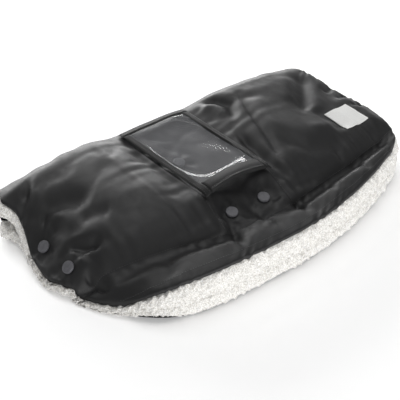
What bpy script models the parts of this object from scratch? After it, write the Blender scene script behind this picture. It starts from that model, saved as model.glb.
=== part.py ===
"""Stroller hand muff: one padded quilt folded in two over a pushchair's handlebar.

The fold runs along X at the back (+Y) and the mouth is at the front (-Y). Each half is a
quilt of three layers: outer shell, wadding and fleece lining. The upper half carries the
phone pocket and swings open about the fold when its press studs are pulled apart.

Every layer is a slab over one shared grid of columns and rows, so neighbouring layers keep
an even gap. A column is a number: -1 to 1 is the centre band, and past that the share of the
way to the left or right end is added. A row is a number: -1 is the front edge, 0 the crosswise
seam and 1 the fold.
"""
import math

import bmesh
import bpy
import numpy as np
from mathutils import Vector
from mathutils.bvhtree import BVHTree

# Plan of the muff
FRONT_BAND_DEPTH = 0.049       # front edge to the crosswise seam
MOUTH_SETBACK = 0.042          # crosswise seam to the mouth of the pocket
POCKET_LENGTH = 0.174
POCKET_WIDTH = 0.1012
FOLD_ALLOWANCE = 0.025         # back end of the pocket to the fold
LEFT_REACH = 0.245             # centre line of the pocket to the left end
RIGHT_REACH = 0.266
FRONT_SWEEP_LEFT = 0.055       # how far the front edge falls back towards the left corner
FRONT_SWEEP_RIGHT = 0.057
SEAM_SWEEP_LEFT = 0.0605
SEAM_SWEEP_RIGHT = 0.040

# Heights and thicknesses
CREST_HEIGHT = 0.087
FOLD_HEIGHT = 0.042            # floor to the fold line, where the two halves part
FOLD_RADIUS = 0.042            # reach of the rounded back behind the crest
QUILT_THICKNESS = 0.017
SHELL_THICKNESS = 0.0010
LINING_THICKNESS = 0.007
LINING_SHARE = 0.55            # most that the lining takes of a thin place
LIP_GAP = 0.003                # least gap between the two linings
LAYER_GAP = 0.0003             # clearance between pieces that touch
SEAM_WIDTH = 0.006             # half width over which a seam draws the quilt in
SEAM_PINCH_SHARE = 0.45        # share of the thickness that a seam draws in

# Press studs
CAP_RADIUS = 0.0075
CAP_HEIGHT = 0.0026
SHANK_RADIUS = 0.0020
SOCKET_RADIUS = 0.0062
SOCKET_HEIGHT = 0.0018
SOCKET_BORE = 0.0034
STUD_RADIUS = 0.0060
STUD_FLANGE = 0.0010
STUD_BALL_RADIUS = 0.0023
STUD_BALL_HEIGHT = 0.0014
POST_RADIUS = 0.0065
POST_HEIGHT = 0.0012
HOLE_CLEARANCE = 0.0006
SEAT_RADIUS = 0.0175           # flat ground that a press stud draws down round itself
CENTRE_SEAT_FADE = 0.0120      # width over which the cloth rises again
END_SEAT_FADE = 0.0200
CENTRE_STUD_PITCH = 0.0492
CENTRE_STUD_SETBACK = 0.0284   # crosswise seam to the two centre studs
END_STUD_SETBACK = 0.0290      # left end to the two end studs
END_CELL_INNER = 0.0090        # end studs to the grid lines on both sides of them
END_CELL_OUTER = 0.0150
BAR_THICKNESS = 0.0130         # quilt at the stud that stays open over the handlebar
STUD_SIDES = 12

# Phone pocket and label
FILM_THICKNESS = 0.0008
BINDING_WIDTH = 0.0090
BINDING_THICKNESS = 0.0014
BACK_BINDING_WIDTH = 0.0120
HEM_DEPTH = 0.0180
HEM_LIP = 0.0030
LABEL_SIZE = 0.040
LABEL_THICKNESS = 0.0010
LABEL_LIFT = 0.0007            # label's clearance over the cloth's facets
LABEL_SETBACK = 0.0487         # right end to the middle of the label
LABEL_BEHIND_SEAM = 0.085
LABEL_TURN = math.radians(3.0)
LABEL_CELLS = 4

# Shares that place the press studs
END_STUD_SHARES = (0.3506, 0.5581)         # of the way from the crosswise seam to the fold
BAR_STUD_SHARE = 0.5290
CENTRE_STUD_HEIGHT_SHARES = (0.575, 0.345, 0.172)  # cap's seat, socket's join, lower shell
END_STUD_HEIGHT_SHARES = (0.333, 0.201, 0.0575)
BAR_STUD_HEIGHT_SHARES = (0.7955, 0.046)

# Derived plan
HALF_POCKET = POCKET_WIDTH / 2
BEHIND_SEAM = MOUTH_SETBACK + POCKET_LENGTH + FOLD_ALLOWANCE
MUFF_DEPTH = FRONT_BAND_DEPTH + BEHIND_SEAM
FOLD_Y = MUFF_DEPTH / 2
SEAM_Y = FOLD_Y - BEHIND_SEAM
FRONT_Y = -FOLD_Y
CENTRE_X = (LEFT_REACH - RIGHT_REACH) / 2
CREST_Y = FOLD_Y - FOLD_RADIUS
MOUTH_ROW = MOUTH_SETBACK / BEHIND_SEAM
POCKET_BACK_ROW = (MOUTH_SETBACK + POCKET_LENGTH) / BEHIND_SEAM
CREST_ROW = (BEHIND_SEAM - FOLD_RADIUS) / BEHIND_SEAM
LEFT_SIDE = LEFT_REACH - HALF_POCKET
END_STUD_SIDE = LEFT_SIDE - END_STUD_SETBACK

# Grid lines, as shares. The side columns are shares of the way from the pocket to the end.
CENTRE_COLUMN_SHARES = (0.0, 0.30, 0.68, 1.0)
LEFT_COLUMN_SHARES = (0.13, 0.27, 0.41, 0.55, 0.68, (END_STUD_SIDE - END_CELL_INNER) / LEFT_SIDE,
                      (END_STUD_SIDE + END_CELL_OUTER) / LEFT_SIDE, 0.97, 1.0)
RIGHT_COLUMN_SHARES = (0.12, 0.25, 0.38, 0.51, 0.64, 0.76, 0.86, 0.94, 1.0)
BAND_ROW_SHARES = (-1.0, -0.75, -0.35, 0.0)
BACK_ROW_SHARES = (0.077, MOUTH_ROW, 0.212, 0.335, 0.41, 0.48, 0.58, 0.67, 0.75,
                   CREST_ROW, POCKET_BACK_ROW, 0.945, 0.98, 1.0)

# Form of the upper surface, station by station from the front edge to the fold
STATION_SHARES = (-1.0, -0.5, 0.0, 0.118, 0.174, 0.30, 0.55, 0.75, 1.0)
PANEL_HEIGHT_SHARES = (0.575, 0.660, 0.605, 0.760, 0.825, 0.915, 0.985, 1.0, 1.0)
SEAM_HEIGHT_SHARES = (0.565, 0.620, 0.575, 0.745, 0.840, 0.875, 0.885, 0.895, 0.910)
SAG_SHARES = (0.0, 0.010, 0.020, 0.200, 0.200, 0.138, 0.095, 0.070, 0.0)
LEFT_END_HEIGHT_SHARES = (0.170, 0.155, 0.195, 0.235, 0.255, 0.285, 0.360, 0.610, 0.760)
RIGHT_END_HEIGHT_SHARES = (0.530, 0.560, 0.575, 0.600, 0.605, 0.620, 0.675, 0.795, 0.865)
LEFT_REACH_SHARES = (0.805, 0.895, 0.950, 0.972, 0.982, 1.0, 0.975, 0.940, 0.910)
RIGHT_REACH_SHARES = (0.845, 0.930, 0.970, 0.985, 0.990, 1.0, 0.980, 0.945, 0.910)
FILM_ARCH_SHARES = (0.0, 0.0, 0.0, 0.070, 0.075, 0.055, 0.045, 0.040, 0.0)
PANEL_RISE_SHARE = 0.28        # share of a side panel over which it rises from the seam
LEFT_FALL_POWER_SHARES = (3.2, 2.6, 2.0, 1.75, 1.65, 1.6, 1.6, 1.6, 1.6)
RIGHT_FALL_POWER_SHARES = (2.8, 2.6, 2.2, 1.8, 1.6, 1.4, 1.7, 2.8, 2.8)
FRONT_SWEEP_POWERS = (5.5, 1.9)    # left, right
SEAM_SWEEP_POWERS = (1.85, 1.6)
SWEEP_FADE_POWER = 3.0

# Main folds of the shell: column and row of both ends, height and half width as shares of
# the quilt's thickness. A negative height is a crease.
FOLD_SHARES = (
    (-1.62, 0.42, -1.95, 0.54, -0.30, 1.0),
    (-1.60, 0.13, -1.84, 0.25, -0.32, 0.9),
    (-1.70, -0.10, -1.93, 0.05, -0.12, 0.8),
    (-1.35, 0.10, -1.72, 0.18, 0.22, 1.2),
    (-1.25, 0.62, -1.70, 0.58, 0.20, 1.6),
    (1.12, 0.20, 1.10, 0.74, -0.38, 0.9),
    (1.34, 0.30, 1.26, 0.80, -0.20, 1.1),
    (1.62, 0.55, 1.60, 0.86, -0.30, 1.0),
    (1.40, 0.42, 1.78, 0.36, 0.24, 1.5),
    (1.70, -0.12, 1.88, 0.08, -0.24, 0.9),
)

# Turned profiles of the press studs, as shares of their radii and heights
CAP_RIM_SHARE = 0.93
CAP_EDGE_SHARE = 0.30
CAP_SHOULDER_SHARE = 0.90
CAP_SHOULDER_HEIGHT_SHARE = 0.78
CAP_CROWN_SHARE = 0.62
SOCKET_FOOT_SHARE = 0.80
SOCKET_STEP_SHARE = 0.55
SOCKET_ROOF_SHARE = 0.12
STUD_NECK_SHARE = 0.82
ROW_TOLERANCE_SHARE = 1e-6     # for picking grid lines

FABRIC_BLACK = (0.012, 0.012, 0.013, 1.0)
BINDING_BLACK = (0.009, 0.009, 0.010, 1.0)
FLEECE_WHITE = (0.86, 0.85, 0.82, 1.0)
WADDING_WHITE = (0.80, 0.80, 0.80, 1.0)
LABEL_WHITE = (0.88, 0.88, 0.87, 1.0)
FILM_GREY = (0.55, 0.56, 0.58, 0.35)
CAP_BLACK = (0.020, 0.020, 0.022, 1.0)
STEEL = (0.60, 0.60, 0.62, 1.0)


def clear_scene():
    for old in list(bpy.data.objects):
        bpy.data.objects.remove(old, do_unlink=True)


def material(name, colour, roughness, metallic=0.0):
    made = bpy.data.materials.new(name)
    made.use_nodes = True
    shader = made.node_tree.nodes["Principled BSDF"]
    shader.inputs["Base Color"].default_value = colour
    shader.inputs["Roughness"].default_value = roughness
    shader.inputs["Metallic"].default_value = metallic
    shader.inputs["Alpha"].default_value = colour[3]
    made.diffuse_color = colour
    return made


def station_values(rows, shares):
    """A smooth curve through the station values, read at the given rows."""
    stations = np.array(STATION_SHARES)
    values = np.array(shares)
    slopes = np.gradient(values, stations)
    index = np.clip(np.searchsorted(stations, rows, side="right") - 1, 0, len(stations) - 2)
    span = stations[index + 1] - stations[index]
    t = np.clip((rows - stations[index]) / span, 0.0, 1.0)
    start = (2 * t**3 - 3 * t**2 + 1) * values[index] + (t**3 - 2 * t**2 + t) * span * slopes[index]
    finish = (3 * t**2 - 2 * t**3) * values[index + 1] + (t**3 - t**2) * span * slopes[index + 1]
    return start + finish


def plan(columns, rows):
    """Plan position of grid points."""
    side = np.clip(np.abs(columns) - 1.0, 0.0, None)
    left = columns < 0
    reach = np.where(left, LEFT_REACH * station_values(rows, LEFT_REACH_SHARES),
                     RIGHT_REACH * station_values(rows, RIGHT_REACH_SHARES))
    inner = np.clip(np.abs(columns), 0.0, 1.0) * HALF_POCKET
    out = inner + (reach - HALF_POCKET) * side
    across = out / reach
    front_sweep = np.where(left, FRONT_SWEEP_LEFT * across**FRONT_SWEEP_POWERS[0],
                           FRONT_SWEEP_RIGHT * across**FRONT_SWEEP_POWERS[1])
    seam_sweep = np.where(left, SEAM_SWEEP_LEFT * across**SEAM_SWEEP_POWERS[0],
                          SEAM_SWEEP_RIGHT * across**SEAM_SWEEP_POWERS[1])
    behind = np.clip(rows, 0.0, 1.0)
    ahead = np.clip(-rows, 0.0, 1.0)
    seam_y = SEAM_Y + seam_sweep
    front_y = FRONT_Y + front_sweep
    y = (SEAM_Y + behind * BEHIND_SEAM + seam_sweep * (1.0 - behind)**SWEEP_FADE_POWER
         + ahead * (front_y - seam_y))
    return CENTRE_X + np.where(left, -out, out), y


def segment_distance(x, y, start, finish):
    """Distance from points to a straight segment in plan."""
    run = (finish[0] - start[0], finish[1] - start[1])
    length = run[0]**2 + run[1]**2
    t = np.clip(((x - start[0]) * run[0] + (y - start[1]) * run[1]) / length, 0.0, 1.0)
    return np.hypot(x - start[0] - t * run[0], y - start[1] - t * run[1])


def fold_relief(x, y):
    """Height that the main folds and creases add to the shell."""
    relief = np.zeros_like(x)
    for column_a, row_a, column_b, row_b, height_share, width_share in FOLD_SHARES:
        start = plan(np.array(column_a), np.array(row_a))
        finish = plan(np.array(column_b), np.array(row_b))
        distance = segment_distance(x, y, start, finish)
        width = width_share * QUILT_THICKNESS
        relief = relief + height_share * QUILT_THICKNESS * np.exp(-(distance / width)**2)
    return relief


def natural_height(columns, rows):
    """Height of the upper surface before the press studs draw it down."""
    side = np.clip(np.abs(columns) - 1.0, 0.0, 1.0)
    panel = CREST_HEIGHT * station_values(rows, PANEL_HEIGHT_SHARES)
    seam = CREST_HEIGHT * station_values(rows, SEAM_HEIGHT_SHARES)
    sag = CREST_HEIGHT * station_values(rows, SAG_SHARES)
    left_end = CREST_HEIGHT * station_values(rows, LEFT_END_HEIGHT_SHARES)
    right_end = CREST_HEIGHT * station_values(rows, RIGHT_END_HEIGHT_SHARES)
    rise = np.clip(side / PANEL_RISE_SHARE, 0.0, 1.0)
    rise = rise * rise * (3 - 2 * rise)
    fall = np.clip((side - PANEL_RISE_SHARE) / (1 - PANEL_RISE_SHARE), 0.0, 1.0)
    end = np.where(columns < 0, left_end, right_end)
    power = np.where(columns < 0, station_values(rows, LEFT_FALL_POWER_SHARES),
                     station_values(rows, RIGHT_FALL_POWER_SHARES))
    height = seam + (panel - seam) * rise + (end - panel) * fall**power
    inside = np.clip(1.0 - np.clip(np.abs(columns), 0.0, 1.0)**2, 0.0, 1.0)
    return height - sag * inside


def press_studs():
    """The five press studs: name, place, heights of seat, join and underside, and fade."""
    end_x = CENTRE_X - LEFT_REACH + END_STUD_SETBACK
    end_front, end_back = [SEAM_Y + BEHIND_SEAM * share for share in END_STUD_SHARES]
    half = CENTRE_STUD_PITCH / 2
    centre_y = SEAM_Y + CENTRE_STUD_SETBACK
    bar_y = SEAM_Y + BEHIND_SEAM * BAR_STUD_SHARE
    centre = [CREST_HEIGHT * share for share in CENTRE_STUD_HEIGHT_SHARES]
    end = [CREST_HEIGHT * share for share in END_STUD_HEIGHT_SHARES]
    bar_seat, bar_under = [CREST_HEIGHT * share for share in BAR_STUD_HEIGHT_SHARES]
    return (
        ("centre_left", CENTRE_X - half, centre_y, *centre, CENTRE_SEAT_FADE),
        ("centre_right", CENTRE_X + half, centre_y, *centre, CENTRE_SEAT_FADE),
        ("end_front", end_x, end_front, *end, END_SEAT_FADE),
        ("end_back", end_x, end_back, *end, END_SEAT_FADE),
        ("bar", CENTRE_X - half, bar_y, bar_seat, None, bar_under, CENTRE_SEAT_FADE),
    )


def seat_weight(x, y, stud):
    """1 on the flat ground of a press stud, falling smoothly to 0 round it."""
    distance = np.hypot(x - stud[1], y - stud[2])
    t = np.clip((distance - SEAT_RADIUS) / stud[6], 0.0, 1.0)
    return 1.0 - t * t * (3 - 2 * t)


def seam_weight(columns, rows):
    """1 on a quilting seam, falling to 0 within a seam's width of it."""
    side = np.abs(np.abs(columns) - 1.0) * HALF_POCKET
    cross = np.abs(rows) * FRONT_BAND_DEPTH
    behind_seam = rows > -SEAM_WIDTH / FRONT_BAND_DEPTH
    fore_aft = np.where(behind_seam, np.exp(-(side / SEAM_WIDTH)**2), 0.0)
    return np.maximum(fore_aft, np.exp(-(cross / SEAM_WIDTH)**2))


def stack_heights(stud):
    """Inner faces of the upper and the lower quilt at a press stud."""
    seat, join, under = stud[3:6]
    if join is None:
        return seat - BAR_THICKNESS, under + BAR_THICKNESS
    upper = join + LAYER_GAP / 2 + SOCKET_HEIGHT + LAYER_GAP
    lower = join - LAYER_GAP / 2 - STUD_FLANGE - LAYER_GAP
    return upper, lower


class Quilt:
    """Surfaces of both halves at grid points: outer and inner faces and the place."""

    def __init__(self, columns, rows, shift=(0.0, 0.0)):
        x, y = plan(columns, rows)
        self.x = x + shift[0]
        self.y = y + shift[1]
        top = natural_height(columns, rows)
        behind_crest = np.clip((self.y - CREST_Y) / FOLD_RADIUS, 0.0, 1.0)
        depth = np.minimum(QUILT_THICKNESS, (top - LIP_GAP) / 2)
        depth = depth * (1 - SEAM_PINCH_SHARE * seam_weight(columns, rows) * (1 - behind_crest))
        fade = np.clip(1 - behind_crest * 2, 0.0, 1.0)
        self.upper_outer = top + fold_relief(self.x, self.y) * fade
        self.upper_inner = top - depth
        self.lower_outer = np.zeros_like(top)
        self.lower_inner = depth
        self.turn = behind_crest
        self.draw_down()

    def draw_down(self):
        """Blend all four faces to each press stud's heights."""
        for stud in press_studs():
            weight = seat_weight(self.x, self.y, stud)
            self.upper_outer += (stud[3] - self.upper_outer) * weight
            self.lower_outer += (stud[5] - self.lower_outer) * weight
            upper, lower = stack_heights(stud)
            self.upper_inner += (upper - self.upper_inner) * weight
            self.lower_inner += (lower - self.lower_inner) * weight

    def point(self, half, depth):
        """Grid points at a depth below a half's outer face, turned round the fold."""
        q = self.turn
        rise = np.sqrt(1 - q**2)
        y = np.where(q > 0, CREST_Y + (FOLD_RADIUS - depth) * q, self.y)
        if half == "upper":
            flat = self.upper_outer - depth
            parting = FOLD_HEIGHT + (1 - rise) * LAYER_GAP / 2
        else:
            flat = self.lower_outer + depth
            parting = FOLD_HEIGHT - (1 - rise) * LAYER_GAP / 2
        z = np.where(q > 0, parting + (flat - FOLD_HEIGHT) * rise, flat)
        return np.stack([self.x, y, z], axis=-1)

    def thickness(self, half):
        if half == "upper":
            return self.upper_outer - self.upper_inner
        return self.lower_inner - self.lower_outer

    def layer_depths(self, half, layer, hem):
        """Depths of a layer's two faces. At the hem the lining fills the whole thickness."""
        total = self.thickness(half)
        under_shell = SHELL_THICKNESS + LAYER_GAP
        room = total - under_shell - LAYER_GAP
        lining = np.minimum(LINING_THICKNESS, room * LINING_SHARE)
        if layer == "shell":
            return np.zeros_like(total), np.full_like(total, SHELL_THICKNESS)
        if layer == "wadding":
            return np.full_like(total, under_shell), total - lining - LAYER_GAP
        return np.where(hem, under_shell, total - lining), total


def grid_columns():
    centre = CENTRE_COLUMN_SHARES
    left = [-1.0 - share for share in reversed(LEFT_COLUMN_SHARES)]
    middle = [-share for share in reversed(centre)] + list(centre[1:])
    right = [1.0 + share for share in RIGHT_COLUMN_SHARES]
    return np.array(left + middle + right)


def grid_rows():
    return np.array(BAND_ROW_SHARES + BACK_ROW_SHARES)


def grid_solid(outer, inner):
    """A closed mesh between two grids of points, all in triangles."""
    mesh = bmesh.new()
    tops = [[mesh.verts.new(point) for point in line] for line in outer]
    bottoms = [[mesh.verts.new(point) for point in line] for line in inner]
    rows = len(tops)
    columns = len(tops[0])
    for i in range(rows - 1):
        for j in range(columns - 1):
            for grid in (tops, bottoms):
                a, b = grid[i][j], grid[i][j + 1]
                c, d = grid[i + 1][j + 1], grid[i + 1][j]
                mesh.faces.new((a, b, c))
                mesh.faces.new((a, c, d))
    rim = [(i, 0) for i in range(rows)] + [(rows - 1, j) for j in range(1, columns)]
    rim += [(i, columns - 1) for i in range(rows - 2, -1, -1)]
    rim += [(0, j) for j in range(columns - 2, 0, -1)]
    for (i, j), (k, m) in zip(rim, rim[1:] + rim[:1]):
        mesh.faces.new((tops[i][j], tops[k][m], bottoms[k][m]))
        mesh.faces.new((tops[i][j], bottoms[k][m], bottoms[i][j]))
    bmesh.ops.recalc_face_normals(mesh, faces=mesh.faces)
    return mesh


def lathe(profile, closed_ring=False):
    """A turned solid about Z from radius and height pairs."""
    mesh = bmesh.new()
    rings = []
    for radius, height in profile:
        if radius == 0:
            rings.append([mesh.verts.new((0, 0, height))])
            continue
        turns = [2 * math.pi * k / STUD_SIDES for k in range(STUD_SIDES)]
        rings.append([mesh.verts.new((radius * math.cos(a), radius * math.sin(a), height)) for a in turns])
    pairs = list(zip(rings, rings[1:]))
    if closed_ring:
        pairs.append((rings[-1], rings[0]))
    for low, high in pairs:
        for k in range(STUD_SIDES):
            n = (k + 1) % STUD_SIDES
            if len(low) == 1:
                mesh.faces.new((low[0], high[n], high[k]))
            elif len(high) == 1:
                mesh.faces.new((low[k], low[n], high[0]))
            else:
                mesh.faces.new((low[k], low[n], high[n], high[k]))
    bmesh.ops.recalc_face_normals(mesh, faces=mesh.faces)
    return mesh


class Assembly:
    """Names, materials and bodies of the pieces as they are made."""

    def __init__(self):
        self.hinge = bpy.data.objects.new("fold_hinge", None)
        self.hinge.location = (CENTRE_X, FOLD_Y, FOLD_HEIGHT)
        bpy.context.scene.collection.objects.link(self.hinge)
        self.shell = material("shell_fabric", FABRIC_BLACK, 0.42)
        self.binding = material("binding_tape", BINDING_BLACK, 0.6)
        self.fleece = material("teddy_fleece", FLEECE_WHITE, 0.95)
        self.wadding = material("wadding", WADDING_WHITE, 0.9)
        self.film = material("clear_film", FILM_GREY, 0.08)
        self.label = material("woven_label", LABEL_WHITE, 0.7)
        self.cap = material("cap_enamel", CAP_BLACK, 0.35)
        self.steel = material("stud_steel", STEEL, 0.3, 1.0)

    def add(self, name, mesh, finish, upper, place=(0.0, 0.0, 0.0), smooth_angle=40.0):
        """Link a mesh as an object. Upper pieces hang on the fold's hinge."""
        data = bpy.data.meshes.new(name)
        mesh.to_mesh(data)
        mesh.free()
        data.materials.append(finish)
        data.shade_smooth()
        data.set_sharp_from_angle(angle=math.radians(smooth_angle))
        made = bpy.data.objects.new(name, data)
        bpy.context.scene.collection.objects.link(made)
        made.location = place
        if upper:
            made.parent = self.hinge
            made.location = [p - h for p, h in zip(place, self.hinge.location)]
        return made


def panel_mesh(half, layer, columns, rows, gaps):
    """Slab of one layer over a range of columns and rows.

    gaps holds the half gaps at the low column, high column, low row and high row.
    """
    grid_c, grid_r = np.meshgrid(columns, rows)
    shift_x = np.zeros_like(grid_c)
    shift_y = np.zeros_like(grid_c)
    shift_x[:, 0] += gaps[0]
    shift_x[:, -1] -= gaps[1]
    shift_y[0, :] += gaps[2]
    shift_y[-1, :] -= gaps[3]
    quilt = Quilt(grid_c, grid_r, (shift_x, shift_y))
    hem = (grid_r <= grid_rows()[0]) | (grid_c <= grid_columns()[0]) | (grid_c >= grid_columns()[-1])
    outer, inner = quilt.layer_depths(half, layer, hem)
    return grid_solid(quilt.point(half, outer), quilt.point(half, inner))


def hole_cutter(assembly):
    """One cutter with a round hole for each press stud's shank."""
    mesh = bmesh.new()
    for stud in press_studs():
        made = bmesh.ops.create_cone(mesh, cap_ends=True, segments=STUD_SIDES,
                                     radius1=SHANK_RADIUS + HOLE_CLEARANCE,
                                     radius2=SHANK_RADIUS + HOLE_CLEARANCE, depth=CREST_HEIGHT * 2)
        bmesh.ops.translate(mesh, vec=(stud[1], stud[2], FOLD_HEIGHT), verts=made["verts"])
    cutter = assembly.add("stud_holes", mesh, assembly.steel, False)
    cutter.hide_render = True
    cutter.display_type = "WIRE"
    return cutter


def pierce(piece, cutter):
    hole = piece.modifiers.new("stud_holes", "BOOLEAN")
    hole.operation = "DIFFERENCE"
    hole.object = cutter


def between(lines, low, high):
    return lines[(lines >= low - ROW_TOLERANCE_SHARE) & (lines <= high + ROW_TOLERANCE_SHARE)]


def upper_panels(assembly, cutter):
    """Shell and wadding of the upper half, one pair for each sewn panel."""
    columns = grid_columns()
    rows = grid_rows()
    half_gap = LAYER_GAP / 2
    wad_left = columns[1]
    wad_right = columns[-2]
    wad_front = rows[1]
    back = rows[-1]
    ranges = {
        "left": ((columns[0], -1.0), (wad_left, -1.0), 0.0, half_gap),
        "centre": ((-1.0, 1.0), (-1.0, 1.0), half_gap, half_gap),
        "right": ((1.0, columns[-1]), (1.0, wad_right), half_gap, 0.0),
    }
    for side, (shell_span, wad_span, low_gap, high_gap) in ranges.items():
        gaps = (low_gap, high_gap, half_gap, 0.0)
        spans = (("shell", shell_span, assembly.shell), ("wadding", wad_span, assembly.wadding))
        for layer, span, finish in spans:
            used = between(columns, *span)
            mesh = panel_mesh("upper", layer, used, between(rows, 0.0, back), gaps)
            piece = assembly.add(f"upper_{layer}_{side}", mesh, finish, True)
            if side != "right":
                pierce(piece, cutter)
    front = (("shell", columns, rows[0], assembly.shell),
             ("wadding", between(columns, wad_left, wad_right), wad_front, assembly.wadding))
    for layer, used, start, finish in front:
        mesh = panel_mesh("upper", layer, used, between(rows, start, 0.0), (0.0, 0.0, 0.0, half_gap))
        assembly.add(f"upper_{layer}_front", mesh, finish, True)


def lower_panels(assembly, cutter):
    """Shell and wadding of the lower half."""
    columns = grid_columns()
    rows = grid_rows()
    half_gap = LAYER_GAP / 2
    padded = columns[1:-1]
    none = (0.0, 0.0, 0.0, 0.0)
    skin = panel_mesh("lower", "shell", columns, rows, none)
    pierce(assembly.add("lower_shell", skin, assembly.shell, False), cutter)
    back = panel_mesh("lower", "wadding", padded, between(rows, 0.0, rows[-1]), (0.0, 0.0, half_gap, 0.0))
    pierce(assembly.add("lower_wadding", back, assembly.wadding, False), cutter)
    front = panel_mesh("lower", "wadding", padded, between(rows, rows[1], 0.0), (0.0, 0.0, 0.0, half_gap))
    assembly.add("lower_wadding_front", front, assembly.wadding, False)


def linings(assembly, cutter):
    """The fleece. The upper one is sewn in three panels, along the seams beside the pocket."""
    columns = grid_columns()
    rows = grid_rows()
    half_gap = LAYER_GAP / 2
    panels = (("left", columns[0], -1.0, 0.0, half_gap),
              ("centre", -1.0, 1.0, half_gap, half_gap),
              ("right", 1.0, columns[-1], half_gap, 0.0))
    for side, start, finish, low_gap, high_gap in panels:
        used = between(columns, start, finish)
        mesh = panel_mesh("upper", "lining", used, rows, (low_gap, high_gap, 0.0, 0.0))
        piece = assembly.add(f"upper_lining_{side}", mesh, assembly.fleece, True)
        if side != "right":
            pierce(piece, cutter)
    lower = panel_mesh("lower", "lining", columns, rows, (0.0, 0.0, 0.0, 0.0))
    pierce(assembly.add("lower_lining", lower, assembly.fleece, False), cutter)


def snap_pieces(assembly):
    """Cap, socket, stud and post of each press stud."""
    for stud in press_studs():
        name, x, y, seat, _, under, _ = stud
        quilt_inner, lower_inner = stack_heights(stud)
        cap_foot = seat + LAYER_GAP
        socket_top = quilt_inner - LAYER_GAP
        shank_end = socket_top - cap_foot + LAYER_GAP
        cap = lathe(((0, shank_end), (SHANK_RADIUS, shank_end), (SHANK_RADIUS, 0.0),
                     (CAP_RADIUS * CAP_RIM_SHARE, 0.0), (CAP_RADIUS, CAP_HEIGHT * CAP_EDGE_SHARE),
                     (CAP_RADIUS * CAP_SHOULDER_SHARE, CAP_HEIGHT * CAP_SHOULDER_HEIGHT_SHARE),
                     (CAP_RADIUS * CAP_CROWN_SHARE, CAP_HEIGHT), (0, CAP_HEIGHT)))
        assembly.add(f"snap_cap_{name}", cap, assembly.cap, True, (x, y, cap_foot))
        socket = lathe(((SOCKET_BORE, -SOCKET_HEIGHT), (SOCKET_RADIUS * SOCKET_FOOT_SHARE, -SOCKET_HEIGHT),
                        (SOCKET_RADIUS, -SOCKET_HEIGHT * SOCKET_STEP_SHARE), (SOCKET_RADIUS, 0.0),
                        (SHANK_RADIUS, 0.0), (SHANK_RADIUS, -SOCKET_HEIGHT * SOCKET_ROOF_SHARE),
                        (SOCKET_BORE, -SOCKET_HEIGHT * SOCKET_ROOF_SHARE)), closed_ring=True)
        assembly.add(f"snap_socket_{name}", socket, assembly.steel, True, (x, y, socket_top))
        flange_foot = lower_inner + LAYER_GAP
        ball_top = STUD_FLANGE + STUD_BALL_HEIGHT
        ball = lathe(((0, 0.0), (STUD_RADIUS, 0.0), (STUD_RADIUS, STUD_FLANGE),
                      (STUD_BALL_RADIUS * STUD_NECK_SHARE, STUD_FLANGE),
                      (STUD_BALL_RADIUS, STUD_FLANGE + STUD_BALL_HEIGHT / 2),
                      (STUD_BALL_RADIUS * STUD_NECK_SHARE, ball_top), (0, ball_top)))
        assembly.add(f"snap_stud_{name}", ball, assembly.steel, False, (x, y, flange_foot))
        post_top = flange_foot - LAYER_GAP - under + LAYER_GAP
        post = lathe(((0, -POST_HEIGHT), (POST_RADIUS * CAP_RIM_SHARE, -POST_HEIGHT), (POST_RADIUS, 0.0),
                      (SHANK_RADIUS, 0.0), (SHANK_RADIUS, post_top), (0, post_top)))
        assembly.add(f"snap_post_{name}", post, assembly.cap, False, (x, y, under - LAYER_GAP))


class Film(Quilt):
    """Outer face of the pocket's film, strung between the two seams beside it."""

    def __init__(self, columns, rows, shift=(0.0, 0.0)):
        super().__init__(columns, rows, shift)
        lines = between(grid_rows(), 0.0, 1.0)
        edges = [np.interp(rows, lines, Quilt(np.full_like(lines, side), lines).upper_outer)
                 for side in (-1.0, 1.0)]
        across = (columns + 1) / 2
        arch = CREST_HEIGHT * station_values(rows, FILM_ARCH_SHARES) * (1 - columns**2)
        flat = edges[0] + (edges[1] - edges[0]) * across + arch
        self.upper_outer = flat + LAYER_GAP + FILM_THICKNESS


def pocket_row(distance):
    """Row at a distance behind the crosswise seam."""
    return distance / BEHIND_SEAM


def strip(columns, rows, depth_top, depth_foot, gaps):
    """A slab that follows the film. Depths are per row, measured down from its outer face."""
    grid_c, grid_r = np.meshgrid(columns, rows)
    shift_x = np.zeros_like(grid_c)
    shift_y = np.zeros_like(grid_c)
    shift_x[:, 0] += gaps[0]
    shift_x[:, -1] -= gaps[1]
    shift_y[0, :] += gaps[2]
    shift_y[-1, :] -= gaps[3]
    film = Film(grid_c, grid_r, (shift_x, shift_y))
    tops = np.repeat(np.array(depth_top)[:, None], len(columns), axis=1)
    feet = np.repeat(np.array(depth_foot)[:, None], len(columns), axis=1)
    return grid_solid(film.point("upper", tops), film.point("upper", feet))


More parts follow.
